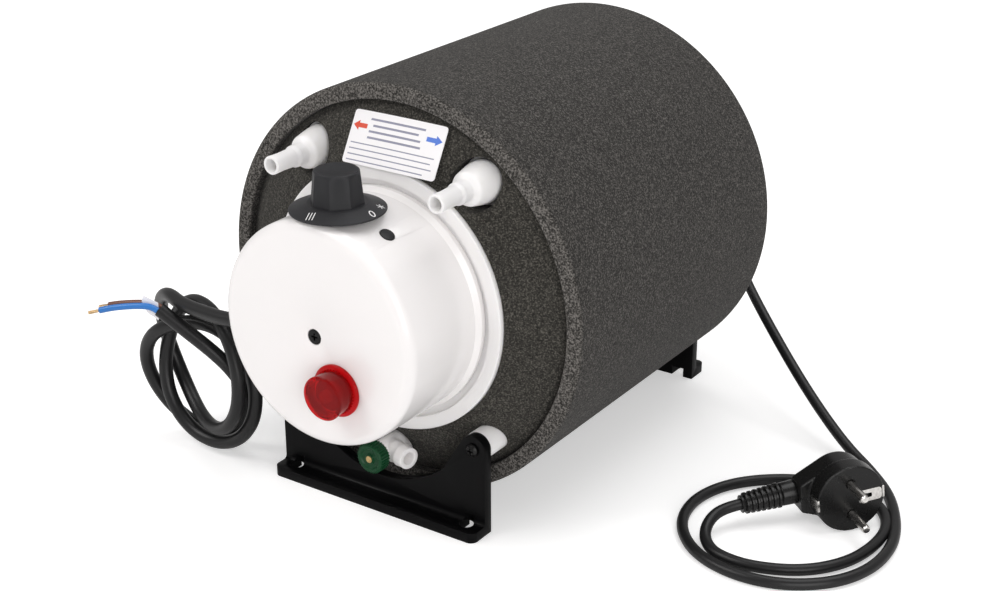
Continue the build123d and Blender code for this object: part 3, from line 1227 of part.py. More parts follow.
def make_nodes():
    """Every named piece of the heater."""
    screws = make_bracket_screws()
    bolts = make_flange_bolts()
    nuts = make_element_nuts()
    bracket = make_bracket()
    foam = make_end_foam()
    gasket = make_gasket()
    element = make_element()
    pillar = make_pillar()
    cover_screw = make_cover_screw()
    coil = coil_path()
    coil_tube = tube_on(coil, LOW_R)
    report_coil(coil, coil_tube)
    limiter = along(CUTOUT_DISC_R, FLANGE_FACE, FLANGE_FACE + CUTOUT_DISC_T, 0, POCKET_RISE)
    return {
        "tank_shell": make_tank(),
        "foam_jacket": make_jacket(),
        "front_foam_disc": make_front_foam(),
        "rear_foam_disc": rear(foam),
        "front_bracket": bracket,
        "rear_bracket": rear(bracket),
        "bracket_screws": Compound(children=screws + [rear(s) for s in screws]),
        "hot_water_nozzle": make_nozzle(-NOZZLE_X),
        "cold_water_nozzle": make_nozzle(NOZZLE_X),
        "nozzle_seals": Compound(children=make_nozzle_seals()),
        "hot_pickup_tube": make_water_tube(-NOZZLE_X, NOZZLE_Z + PICKUP_RISE),
        "cold_dip_tube": make_water_tube(NOZZLE_X, DIP_GAP - TANK_FLOOR),
        "drain_valve_body": make_valve_body(),
        "drain_valve_seal": make_valve_seal(),
        "drain_valve_knob": make_valve_knob(),
        "drain_valve_spindle": make_valve_spindle(),
        "front_gasket": gasket,
        "rear_gasket": rear(gasket),
        "front_element_flange": make_element_flange(True),
        "rear_element_flange": rear(make_element_flange(False)),
        "flange_bolts": Compound(children=bolts + [rear(b) for b in bolts]),
        "heating_element_12v": element,
        "heating_element_mains": rear(element),
        "element_nuts": Compound(children=nuts + [rear(n) for n in nuts]),
        "sensor_pocket": make_pocket(),
        "thermostat_bulb": make_bulb(),
        "mains_thermal_limiter": rear(limiter),
        "cover_pillars": Compound(children=[pillar, rear(pillar)]),
        "terminal_block_12v": make_terminal_block(-1),
        "terminal_block_mains": rear(make_terminal_block(1)),
        "front_cover": make_front_cover(),
        "rear_cover": make_rear_cover(),
        "cover_screws": Compound(children=[cover_screw, rear(cover_screw)]),
        "thermostat_body": make_thermostat(),
        "thermostat_screws": Compound(children=make_thermostat_screws()),
        "thermostat_shaft": make_shaft(),
        "thermostat_knob": make_knob(),
        "thermal_cutout": make_cutout(),
        "reset_button": make_reset_button(),
        "reset_spring": make_reset_spring(),
        "pilot_lamp_lens": make_lens(),
        "pilot_lamp_holder": make_lamp_holder(),
        "pilot_lamp_nut": make_lamp_nut(),
        "pilot_lamp_bulb": make_lamp(),
        "label_plate": make_label(),
        "cable_gland_12v": make_gland(LOW_GLAND_ANGLE, LOW_R),
        "gland_nut_12v": make_gland_nut(LOW_GLAND_ANGLE),
        "mains_gland": rear(make_gland(MAINS_GLAND_ANGLE, MAINS_R)),
        "mains_gland_nut": rear(make_gland_nut(MAINS_GLAND_ANGLE)),
        "cable_12v_coil": coil_tube,
        "core_brown": make_core("brown core", 1),
        "core_blue": make_core("blue core", -1),
        "core_copper_tips": Compound(children=[make_core_tip(1), make_core_tip(-1)]),
        "core_tag": make_tag(),
        "mains_cable": routed_tube("mains cable", mains_points(), MAINS_R),
        "plug_body": make_plug_body(),
        "plug_pins": Compound(children=make_plug_pins()),
        "plug_earth_clips": Compound(children=make_earth_clips()),
        "plug_boot": make_boot(),
    }


os.makedirs("parts", exist_ok=True)
for node, shape in make_nodes().items():
    shape.label = node
    export_step(shape, os.path.join("parts", node + ".step"))
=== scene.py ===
import bmesh
import bpy
import logging
import math
from dataclasses import dataclass
from enum import Enum
from mathutils import Matrix, Vector

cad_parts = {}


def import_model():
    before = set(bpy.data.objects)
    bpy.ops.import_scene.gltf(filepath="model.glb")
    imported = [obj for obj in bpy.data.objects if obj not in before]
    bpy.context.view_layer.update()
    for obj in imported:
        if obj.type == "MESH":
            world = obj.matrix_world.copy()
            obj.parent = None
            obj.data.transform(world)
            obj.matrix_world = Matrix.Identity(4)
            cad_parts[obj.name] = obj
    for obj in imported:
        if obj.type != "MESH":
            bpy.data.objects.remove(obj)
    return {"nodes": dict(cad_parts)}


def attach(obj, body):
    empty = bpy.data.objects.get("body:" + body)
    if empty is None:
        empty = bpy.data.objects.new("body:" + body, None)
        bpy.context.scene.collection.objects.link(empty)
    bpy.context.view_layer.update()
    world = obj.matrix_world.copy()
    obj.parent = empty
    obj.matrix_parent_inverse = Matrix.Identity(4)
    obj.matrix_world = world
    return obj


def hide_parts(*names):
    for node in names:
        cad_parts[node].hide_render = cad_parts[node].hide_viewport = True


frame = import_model()
log = logging.getLogger("heater")

# Lengths are in millimetres and angles in degrees, except where a docstring names another unit.
MM = 0.001
METRE = 1000.0
MID_Y = 6.7
AXIS_Z = 123.5
DOME_R = 216.0
DOME_TOP = 129.0
FITTING_REACH = 154.0
GLAND_R = 79.8
POLE = 1e-6
MERGE_METRES = 1e-6
WELD_METRES = 1e-5
ROOT = "heater"
UNMOVED = Matrix.Identity(4)
UP = Vector((0, 0, 1))

Points = list[tuple[float, float]]
Place = tuple[float, float, float]
Colour = tuple[float, float, float]
Loop = list[bmesh.types.BMVert]
Piece = bpy.types.Object
Socket = bpy.types.NodeSocket


class End(Enum):
    """The two ends of the tank, with the way that each faces."""

    FRONT = 1
    REAR = -1


def world(x: float, s: float, z: float) -> Vector:
    """A place in metres from x, the reach s in front of the tank's middle, and z from its axis."""
    return Vector((x, MID_Y - s, AXIS_Z + z)) * MM


def basis(origin: Vector, x: Vector, z: Vector) -> Matrix:
    """A frame whose third axis is z.

    Args:
        origin: its origin in metres.
        x: direction of its first axis, as far as it is square to z.
        z: direction of its third axis.

    Returns:
        The matrix that takes millimetres in the frame to metres in the row frame.
    """
    z = z.normalized()
    y = z.cross(x).normalized()
    x = y.cross(z)
    m = Matrix((x, y, z)).transposed().to_4x4()
    m.translation = origin
    return m @ Matrix.Diagonal((MM, MM, MM, 1))


def radial(angle: float) -> Vector:
    """The way out from the tank's axis at an angle from its right side."""
    a = math.radians(angle)
    return Vector((math.cos(a), 0, math.sin(a)))


def along(x: float = 0, z: float = 0, end: End = End.FRONT) -> Matrix:
    """A frame on a line parallel to the tank's axis, its height the reach at that end."""
    side = Vector((end.value, 0, 0))
    return basis(world(x, 0, z), side, Vector((0, -end.value, 0)))


def upright(x: float, s: float) -> Matrix:
    """A frame that stands upright, its height counted from the tank's axis."""
    return basis(world(x, s, 0), Vector((1, 0, 0)), UP)


def turned(angle: float, axis: str = "Z") -> Matrix:
    """A turn about one axis of a frame."""
    return Matrix.Rotation(math.radians(angle), 4, axis)


def gland_mouth(angle: float, s: float) -> tuple[Vector, Vector]:
    """Where a cable leaves its gland on a cover's side, and its way out."""
    way = radial(angle)
    return Vector((GLAND_R * way.x, MID_Y - s, AXIS_Z + GLAND_R * way.z)), way


def dome(r: float) -> float:
    """Reach of the foam's domed end at r from the axis."""
    return DOME_TOP - DOME_R + math.sqrt(DOME_R**2 - r**2)


# The plug's frame: the first axis points to its cable, the third the way that its pins point.
PLUG = basis(Vector((237.5, 1.2, 20.3)) * MM, Vector((-0.66, -0.741, -0.121)),
             Vector((0.744, -0.667, 0.0248)))


def scaled(colour: Colour, factor: float) -> Colour:
    """A colour made lighter or darker, white at most."""
    return tuple(min(1.0, part * factor) for part in colour)


class Shade:
    """A node material under construction."""

    # The Mix node's own sockets for colours, which share their names with others.
    MIX_FIRST, MIX_SECOND, MIX_RESULT = 6, 7, 2

    def __init__(self, name: str) -> None:
        """Start a material that holds one Principled shader.

        Args:
            name: the material's name.
        """
        self.material = bpy.data.materials.new(name)
        self.material.use_nodes = True
        self.tree = self.material.node_tree
        self.shader = self.tree.nodes["Principled BSDF"]
        self.coords = self.tree.nodes.new("ShaderNodeTexCoord").outputs["Object"]

    def set(self, **values: object) -> None:
        """Set plain values on the shader's own sockets; an underscore stands for a space."""
        for key, value in values.items():
            self.shader.inputs[key.replace("_", " ")].default_value = value

    def node(self, kind: str, **values: object) -> bpy.types.Node:
        """A new node with its inputs set.

        Args:
            kind: the node's type without its prefix.
            values: input values, or attributes in lower case.

        Returns:
            The node.
        """
        made = self.tree.nodes.new("ShaderNode" + kind)
        for key, value in values.items():
            if key[0].islower():
                setattr(made, key, value)
            else:
                made.inputs[key.replace("_", " ")].default_value = value
        return made

    def link(self, source: Socket, target: Socket) -> None:
        """Join two sockets."""
        self.tree.links.new(source, target)

    def stretched(self, scale: Place) -> Socket:
        """Object coordinates stretched along each axis.

        Args:
            scale: a factor for each axis.

        Returns:
            The coordinates.
        """
        mapping = self.node("Mapping", Scale=scale)
        self.link(self.coords, mapping.inputs["Vector"])
        return mapping.outputs["Vector"]

    def noise(self, size: float, detail: float = 3.0, roughness: float = 0.6,
              vector: Socket | None = None) -> Socket:
        """Soft noise.

        Args:
            size: width of its patches.
            detail: how many finer layers it has.
            roughness: how strong these are.
            vector: coordinates; the object's own if none.

        Returns:
            A value round one half.
        """
        made = self.node("TexNoise", Scale=METRE / size, Detail=detail, Roughness=roughness)
        self.link(vector or self.coords, made.inputs["Vector"])
        return made.outputs["Fac"]

    def cells(self, size: float) -> Socket:
        """Scattered cells.

        Args:
            size: how far apart they are.

        Returns:
            Distance to the nearest one.
        """
        made = self.node("TexVoronoi", Scale=METRE / size)
        self.link(self.coords, made.inputs["Vector"])
        return made.outputs["Distance"]

    def ramp(self, source: Socket, *stops: tuple[float, Colour]) -> Socket:
        """Colours along a value.

        Args:
            source: the value.
            stops: places and their colours.

        Returns:
            The colour.
        """
        made = self.node("ValToRGB")
        while len(made.color_ramp.elements) < len(stops):
            made.color_ramp.elements.new(0.5)
        for element, (place, colour) in zip(made.color_ramp.elements, stops):
            element.position = place
            element.color = (*colour, 1)
        self.link(source, made.inputs["Fac"])
        return made.outputs["Color"]

    def mix(self, factor: Socket, first: Socket, second: Socket) -> Socket:
        """Two colours mixed.

        Args:
            factor: share of the second.
            first: a colour.
            second: another.

        Returns:
            The mixed colour.
        """
        made = self.node("Mix", data_type="RGBA")
        self.link(factor, made.inputs["Factor"])
        self.link(first, made.inputs[self.MIX_FIRST])
        self.link(second, made.inputs[self.MIX_SECOND])
        return made.outputs[self.MIX_RESULT]

    def levels(self, source: Socket, low: float, high: float) -> Socket:
        """A value spread anew.

        Args:
            source: the value, from zero to one.
            low: what zero becomes.
            high: what one becomes.

        Returns:
            The new value.
        """
        made = self.node("MapRange", To_Min=low, To_Max=high)
        self.link(source, made.inputs["Value"])
        return made.outputs["Result"]

    def ahead(self, reach: float, blend: float = 1.6) -> Socket:
        """A mask for what lies in front of a place along the tank.

        Args:
            reach: that place, along the row frame's second axis.
            blend: length over which the mask sets in.

        Returns:
            One in front of it and zero behind it.
        """
        split = self.node("SeparateXYZ")
        self.link(self.coords, split.inputs["Vector"])
        made = self.node("MapRange", From_Min=reach * MM, From_Max=(reach - blend) * MM)
        self.link(split.outputs["Y"], made.inputs["Value"])
        return made.outputs["Result"]

    def bump(self, source: Socket, depth: float, strength: float,
             before: Socket | None = None) -> Socket:
        """Relief.

        Args:
            source: its height, from zero to one.
            depth: its depth at a height of one.
            strength: how much of it is seen.
            before: relief that it is laid on, if any.

        Returns:
            The normal.
        """
        made = self.node("Bump", Strength=strength, Distance=depth * MM)
        self.link(source, made.inputs["Height"])
        if before:
            self.link(before, made.inputs["Normal"])
        return made.outputs["Normal"]

    def finished(self, normal: Socket, colour: Socket, rough: Socket) -> bpy.types.Material:
        """Join relief, colour and roughness to the shader.

        Args:
            normal: the relief's normal.
            colour: the colour.
            rough: the roughness.

        Returns:
            The material.
        """
        for source, name in ((normal, "Normal"), (colour, "Base Color"), (rough, "Roughness")):
            self.link(source, self.shader.inputs[name])
        return self.material


@dataclass(frozen=True)
class Foam:
    """Closed-cell foam: dark, dull, with fine light and dark specks and, if cut, a paler end."""

    name: str
    dark: Colour
    base: Colour
    light: Colour
    cell: float = 0.95
    cut: float | None = None

    def material(self) -> bpy.types.Material:
        """Build the foam.

        Returns:
            The material.
        """
        shade = Shade(self.name)
        shade.set(Specular_IOR_Level=0.16, Sheen_Weight=0.06, Sheen_Roughness=0.6)
        fine = shade.noise(self.cell, detail=1.5, roughness=0.55)
        specks = shade.ramp(fine, (0.37, self.dark), (0.48, self.base), (0.54, self.base),
                            (0.66, self.light))
        calm = shade.ramp(shade.noise(self.cell * 2.4, detail=2.0),
                          (0.38, self.dark), (0.5, self.base), (0.68, self.light))
        colour = shade.mix(shade.levels(shade.noise(24.0, detail=2.0), 0.05, 0.4), specks, calm)
        if self.cut is not None:
            pale = shade.ramp(fine, (0.34, scaled(self.dark, 1.8)), (0.48, scaled(self.base, 2.0)),
                              (0.64, scaled(self.light, 1.25)))
            colour = shade.mix(shade.ahead(self.cut), colour, pale)
        pits = shade.bump(shade.cells(self.cell * 0.8), 0.4, 0.5)
        normal = shade.bump(fine, 0.6, 0.7, pits)
        return shade.finished(normal, colour, shade.levels(fine, 0.86, 1.0))


@dataclass(frozen=True)
class Plastic:
    """Moulded plastic with a faint grain and slight unevenness of its gloss."""

    name: str
    base: Colour
    rough: float
    grain: float = 0.6
    relief: float = 0.012
    soft: float = 0.0
    gloss: float = 0.5
    coat: float = 0.0
    vary: float = 0.05

    def material(self) -> bpy.types.Material:
        """Build the plastic.

        Returns:
            The material.
        """
        shade = Shade(self.name)
        shade.set(IOR=1.49, Coat_Weight=self.coat, Coat_Roughness=0.1,
                  Subsurface_Weight=self.soft, Subsurface_Radius=(0.006, 0.006, 0.0055),
                  Subsurface_Scale=1.0, Specular_IOR_Level=self.gloss)
        colour = shade.ramp(shade.noise(45.0, detail=2.0), (0.3, scaled(self.base, 1 - self.vary)),
                            (0.7, scaled(self.base, 1 + self.vary)))
        rough = shade.levels(shade.noise(9.0), self.rough * 0.85, self.rough * 1.18)
        normal = shade.bump(shade.noise(self.grain), self.relief, 0.35)
        return shade.finished(normal, colour, rough)


@dataclass(frozen=True)
class Metal:
    """Metal with fine drawing lines and dulled patches."""

    name: str
    base: Colour
    rough: float
    lines: Place = (1.0, 1.0, 1.0)

    def material(self) -> bpy.types.Material:
        """Build the metal.

        Returns:
            The material.
        """
        shade = Shade(self.name)
        shade.set(Metallic=1.0)
        colour = shade.ramp(shade.noise(3.0), (0.35, scaled(self.base, 0.72)), (0.6, self.base))
        rough = shade.levels(shade.noise(1.2), self.rough * 0.7, self.rough * 1.4)
        grain = shade.noise(0.5, 2.0, 0.5, shade.stretched(self.lines))
        return shade.finished(shade.bump(grain, 0.01, 0.3), colour, rough)


@dataclass(frozen=True)
class Lens:
    """Clear coloured plastic."""

    name: str
    base: Colour
    clear: float
    bend: float = 1.2
    coat: float = 0.1
    rough: float = 0.01

    def material(self) -> bpy.types.Material:
        """Build the lens.

        Returns:
            The material.
        """
        shade = Shade(self.name)
        shade.set(IOR=self.bend, Transmission_Weight=self.clear, Coat_Weight=self.coat,
                  Coat_Roughness=0.03)
        colour = shade.ramp(shade.noise(12.0), (0.3, scaled(self.base, 0.8)), (0.65, self.base))
        normal = shade.bump(shade.noise(2.5), 0.02, 0.3)
        rough = shade.levels(shade.noise(6.0), self.rough, self.rough + 0.04)
        return shade.finished(normal, colour, rough)


FINISHES = {
    "jacket_foam": Foam("foam", (0.0095, 0.009, 0.008), (0.030, 0.028, 0.0256),
                        (0.135, 0.127, 0.118), cut=-95.4),
    "disc_foam": Foam("foam end", (0.012, 0.0115, 0.0095), (0.034, 0.032, 0.0275),
                      (0.105, 0.098, 0.085)),
    "white_plastic": Plastic("white moulding", (0.89, 0.868, 0.862), 0.24, grain=3.5,
                             relief=0.004, soft=0.12, coat=0.25, vary=0.006),
    "natural_plastic": Plastic("natural moulding", (0.84, 0.83, 0.825), 0.36, grain=1.4,
                               soft=0.55, gloss=0.45, vary=0.015),
    # The natural moulding made whiter for the drain valve: the extra whiteness is painted light
    # that lifts the valve out of the shadow under the front cover.
    "valve_plastic_painted_light": Plastic("valve moulding with painted light", (0.95, 0.93, 0.92), 0.3, grain=1.2, relief=0.01,
                             soft=0.3, gloss=0.45, vary=0.01),
    "black_plastic": Plastic("black moulding", (0.009, 0.009, 0.010), 0.42, grain=0.45,
                             relief=0.03, gloss=0.3),
    "bracket": Plastic("bracket black", (0.0022, 0.0022, 0.0025), 0.32, grain=0.7, relief=0.02,
                       gloss=0.11),
    "dark_grey_plastic": Plastic("dial grey", (0.021, 0.0212, 0.0235), 0.46, grain=0.4,
                                 relief=0.02, gloss=0.25),
    "plug_plastic": Plastic("plug black", (0.008, 0.008, 0.008), 0.27, grain=1.1, relief=0.02,
                            gloss=0.32),
    "black_rubber": Plastic("cable sheath", (0.0105, 0.0105, 0.011), 0.36, grain=1.6,
                            relief=0.03, gloss=0.34),
    "grey_rubber": Plastic("seal rubber", (0.10, 0.10, 0.10), 0.65),
    "black_steel": Metal("blackened steel", (0.030, 0.030, 0.030), 0.30),
    "steel": Metal("steel", (0.55, 0.55, 0.56), 0.3),
    "stainless": Metal("stainless", (0.62, 0.61, 0.60), 0.26, lines=(1, 30, 1)),
    "nickel": Metal("nickel plate", (0.84, 0.82, 0.79), 0.2),
    "brass": Metal("brass", (0.72, 0.52, 0.24), 0.28),
    "copper": Metal("bare copper", (0.80, 0.58, 0.33), 0.3),
    "red_lens": Lens("red lens", (0.86, 0.004, 0.008), 0.86),
    "lamp_glass": Lens("lamp", (0.45, 0.25, 0.2), 0.7),
    "green_plastic": Plastic("wheel green", (0.005, 0.052, 0.018), 0.28, grain=0.9, relief=0.02,
                             gloss=0.22),
    "brown_insulation": Plastic("brown core", (0.16, 0.052, 0.028), 0.36),
    "blue_insulation": Plastic("blue core", (0.024, 0.165, 0.50), 0.34),
    "paper": Plastic("label film", (0.88, 0.865, 0.88), 0.4, grain=0.8, relief=0.004, vary=0.01),
    "mark_white": Plastic("dial mark", (0.85, 0.85, 0.85), 0.5),
    "mark_red": Plastic("red mark", (0.66, 0.055, 0.016), 0.45),
    "mark_blue": Plastic("blue mark", (0.075, 0.19, 0.66), 0.45),
    "mark_ink": Plastic("faint ink", (0.27, 0.275, 0.36), 0.5),
}


class Paints:
    """Materials, each made once."""

    made: dict[str, bpy.types.Material] = {}

    @classmethod
    def get(cls, name: str) -> bpy.types.Material:
        """A finish's material.

        Args:
            name: the finish.

        Returns:
            Its material.
        """
        if name not in cls.made:
            cls.made[name] = FINISHES[name].material()
        return cls.made[name]


def add(name: str, data: bpy.types.ID) -> Piece:
    """Put an object that holds the data into the scene.

    Args:
        name: the object's name.
        data: its mesh, curve, lamp or camera.

    Returns:
        The object.
    """
    obj = bpy.data.objects.new(name, data)
    bpy.context.scene.collection.objects.link(obj)
    return obj


def as_it_looks(obj: Piece) -> bpy.types.Mesh:
    """A new mesh of what the object's modifiers or its curve make."""
    graph = bpy.context.evaluated_depsgraph_get()
    return bpy.data.meshes.new_from_object(obj.evaluated_get(graph), depsgraph=graph)


def add_weld(obj: Piece) -> None:
    """Weld the loose triangles of a carried-over solid."""
    obj.modifiers.new("weld", "WELD").merge_threshold = WELD_METRES


def smoothing() -> bpy.types.NodeTree:
    """A tree that smooths all but the sharp edges.

    Returns:
        The tree.
    """
    tree = bpy.data.node_groups.new("soft shading", "GeometryNodeTree")
    new_socket = tree.interface.new_socket
    new_socket(name="Geometry", in_out="INPUT", socket_type="NodeSocketGeometry")
    limit = new_socket(name="Sharp angle", in_out="INPUT", socket_type="NodeSocketFloat")
    limit.default_value = math.radians(32)
    new_socket(name="Geometry", in_out="OUTPUT", socket_type="NodeSocketGeometry")
    nodes, link = tree.nodes, tree.links.new
    start, end = nodes.new("NodeGroupInput"), nodes.new("NodeGroupOutput")
    faces = nodes.new("GeometryNodeSetShadeSmooth")
    edges = nodes.new("GeometryNodeSetShadeSmooth")
    faces.domain, edges.domain = "FACE", "EDGE"
    edges.inputs["Shade Smooth"].default_value = False
    angle = nodes.new("GeometryNodeInputMeshEdgeAngle")
    sharp = nodes.new("FunctionNodeCompare")
    sharp.operation = "GREATER_THAN"
    link(start.outputs["Geometry"], faces.inputs["Geometry"])
    link(faces.outputs["Geometry"], edges.inputs["Geometry"])
    link(angle.outputs["Unsigned Angle"], sharp.inputs["A"])
    link(start.outputs["Sharp angle"], sharp.inputs["B"])
    link(sharp.outputs["Result"], edges.inputs["Selection"])
    link(edges.outputs["Geometry"], end.inputs["Geometry"])
    return tree


def dress(finish: str, edge: float, *names: str) -> None:
    """Give carried-over solids their finish, broken edges and smooth shading.

    Args:
        finish: name of the finish.
        edge: width of the broken edges.
        names: the solids.
    """
    for name in names:
        obj = frame["nodes"][name]
        if not obj.material_slots:
            obj.data.materials.append(None)
        for place in obj.material_slots:
            place.link = "OBJECT"
            place.material = Paints.get(finish)
        add_weld(obj)
        bevel = obj.modifiers.new("edges", "BEVEL")
        bevel.width = edge * MM
        bevel.segments = 2
        bevel.limit_method = "ANGLE"
        bevel.angle_limit = math.radians(40)
        shade = obj.modifiers.new("shading", "NODES")
        shade.node_group = bpy.data.node_groups.get("soft shading") or smoothing()
        log.info("dressed %s in %s", name, finish)


def settle(obj: Piece, finish: str, *stands_for: str, slot: str = "", body: str = ROOT) -> Piece:
    """Give a made piece its finish and body.

    Args:
        obj: the piece, in place.
        finish: name of its finish.
        stands_for: solids that it replaces.
        slot: not used.
        body: the body it rides on.

    Returns:
        The piece.
    """
    obj.data.materials.clear()
    obj.data.materials.append(Paints.get(finish))
    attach(obj, body)
    if stands_for:
        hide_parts(*stands_for)
    log.info("made %s", obj.name)
    return obj


def keep(name: str, bm: bmesh.types.BMesh, sharp: float | None = None) -> Piece:
    """Turn mesh work into an object.

    Args:
        name: the object's name.
        bm: the mesh work, which ends here.
        sharp: angle of the edges that stay sharp; the shading stays as it is if none.

    Returns:
        The object.
    """
    mesh = bpy.data.meshes.new(name)
    bm.to_mesh(mesh)
    bm.free()
    if sharp:
        mesh.shade_smooth()
        mesh.set_sharp_from_angle(angle=math.radians(sharp))
    return add(name, mesh)


def as_object(name: str, bm: bmesh.types.BMesh, sharp: float = 35) -> Piece:
    """Clean mesh work up and turn it into a smooth object.

    Args:
        name: the object's name.
        bm: the mesh work, which ends here.
        sharp: angle of the edges that stay sharp.

    Returns:
        The object.
    """
    bmesh.ops.remove_doubles(bm, verts=bm.verts, dist=MERGE_METRES)
    bmesh.ops.recalc_face_normals(bm, faces=bm.faces)
    return keep(name, bm, sharp)


def join(name: str, parts: list[Piece], sharp: float | None = None) -> Piece:
    """Join mesh objects that all sit at the origin into one piece.

    Args:
        name: the piece's name.
        parts: the objects, which end here.
        sharp: angle of the edges that stay sharp; the shading stays as it is if none.

    Returns:
        The piece.
    """
    bm = bmesh.new()
    for part in parts:
        bm.from_mesh(part.data)
        bpy.data.objects.remove(part)
    return keep(name, bm, sharp)


def box(left: float, low: float, right: float, high: float) -> Points:
    """Corners of a rectangle."""
    return [(left, low), (right, low), (right, high), (left, high)]


def ellipse(wide: float, deep: float, count: int) -> Points:
    """Places round an ellipse of those half widths."""
    turns = (2 * math.pi * k / count for k in range(count))
    return [(wide * math.cos(t), deep * math.sin(t)) for t in turns]


def rounded(profile: Points, radii: list[float], steps: int = 4, closed: bool = True) -> Points:
    """A profile with its corners rounded.

    Args:
        profile: corner places.
        radii: one radius for each corner; none where zero.
        steps: points on each rounding, less one.
        closed: whether the last place joins the first.

    Returns:
        The rounded profile.
    """
    made: Points = []
    count = len(profile)
    for i, (place, radius) in enumerate(zip(profile, radii)):
        at_end = not closed and i in (0, count - 1)
        if radius <= 0 or at_end:
            made.append(place)
            continue
        p = Vector(place)
        a = Vector(profile[i - 1]) - p
        b = Vector(profile[(i + 1) % count]) - p
        turn = math.pi - a.angle(b)
        reach = min(radius * math.tan(turn / 2), a.length * 0.49, b.length * 0.49)
        start, end = p + a.normalized() * reach, p + b.normalized() * reach
        for k in range(steps + 1):
            t = k / steps
            q = start * (1 - t)**2 + p * (2 * t * (1 - t)) + end * t * t
            made.append((q.x, q.y))
    return made


def loop_at(bm: bmesh.types.BMesh, place: Matrix, outline: Points, height: float = 0.0) -> Loop:
    """Mesh points of a flat outline at a height of a frame."""
    return [bm.verts.new(place @ Vector((x, y, height))) for x, y in outline]


def stretch(bm: bmesh.types.BMesh, loops: list[Loop], closed: bool = False,
            caps: bool = False) -> None:
    """Stretch faces from each loop to the next.

    Args:
        bm: the mesh work.
        loops: loops of as many points, or of one point at a pole.
        closed: whether the last loop joins the first.
        caps: whether flat faces close the first and the last loop.
    """
    count = max(len(loop) for loop in loops)
    for a, b in zip(loops, loops[1:] + (loops[:1] if closed else [])):
        for k in range(count):
            n = (k + 1) % count
            corners = [a[k % len(a)], a[n % len(a)], b[n % len(b)], b[k % len(b)]]
            unique = list(dict.fromkeys(corners))
            if len(unique) > 2:
                bm.faces.new(unique)
    if caps:
        bm.faces.new(loops[0])
        bm.faces.new(loops[-1])


def lathe(name: str, profile: Points, place: Matrix, segments: int = 96,
          closed: bool = True) -> Piece:
    """Turn a profile of (radius, height) about a frame's third axis.

    Args:
        name: the piece's name.
        profile: radii and heights.
        place: the frame.
        segments: steps round.
        closed: whether the last point joins the first; if not, ends on the axis are poles.

    Returns:
        The piece.
    """
    bm = bmesh.new()
    stretch(bm, [loop_at(bm, place, ellipse(r, r, segments) if r > POLE else [(0, 0)], h)
                 for r, h in profile], closed)
    return as_object(name, bm)


def slab(name: str, outline: Points, low: float, high: float, place: Matrix,
         ease: float = 0.0) -> Piece:
    """A flat plate of that outline.

    Args:
        name: the piece's name.
        outline: its corners.
        low: height of its underside in the frame.
        high: height of its top.
        place: the frame.
        ease: how far the top's edges are broken.

    Returns:
        The plate.
    """
    bm = bmesh.new()
    centre = Vector((sum(x for x, _ in outline), sum(y for _, y in outline))) / len(outline)
    loops = []
    for height, inset in ((low, 0.0), (high - ease, 0.0), (high, ease)):
        inner = [Vector(p) - (Vector(p) - centre).normalized() * inset for p in outline]
        loops.append(loop_at(bm, place, inner, height))
    stretch(bm, loops, caps=True)
    return as_object(name, bm)


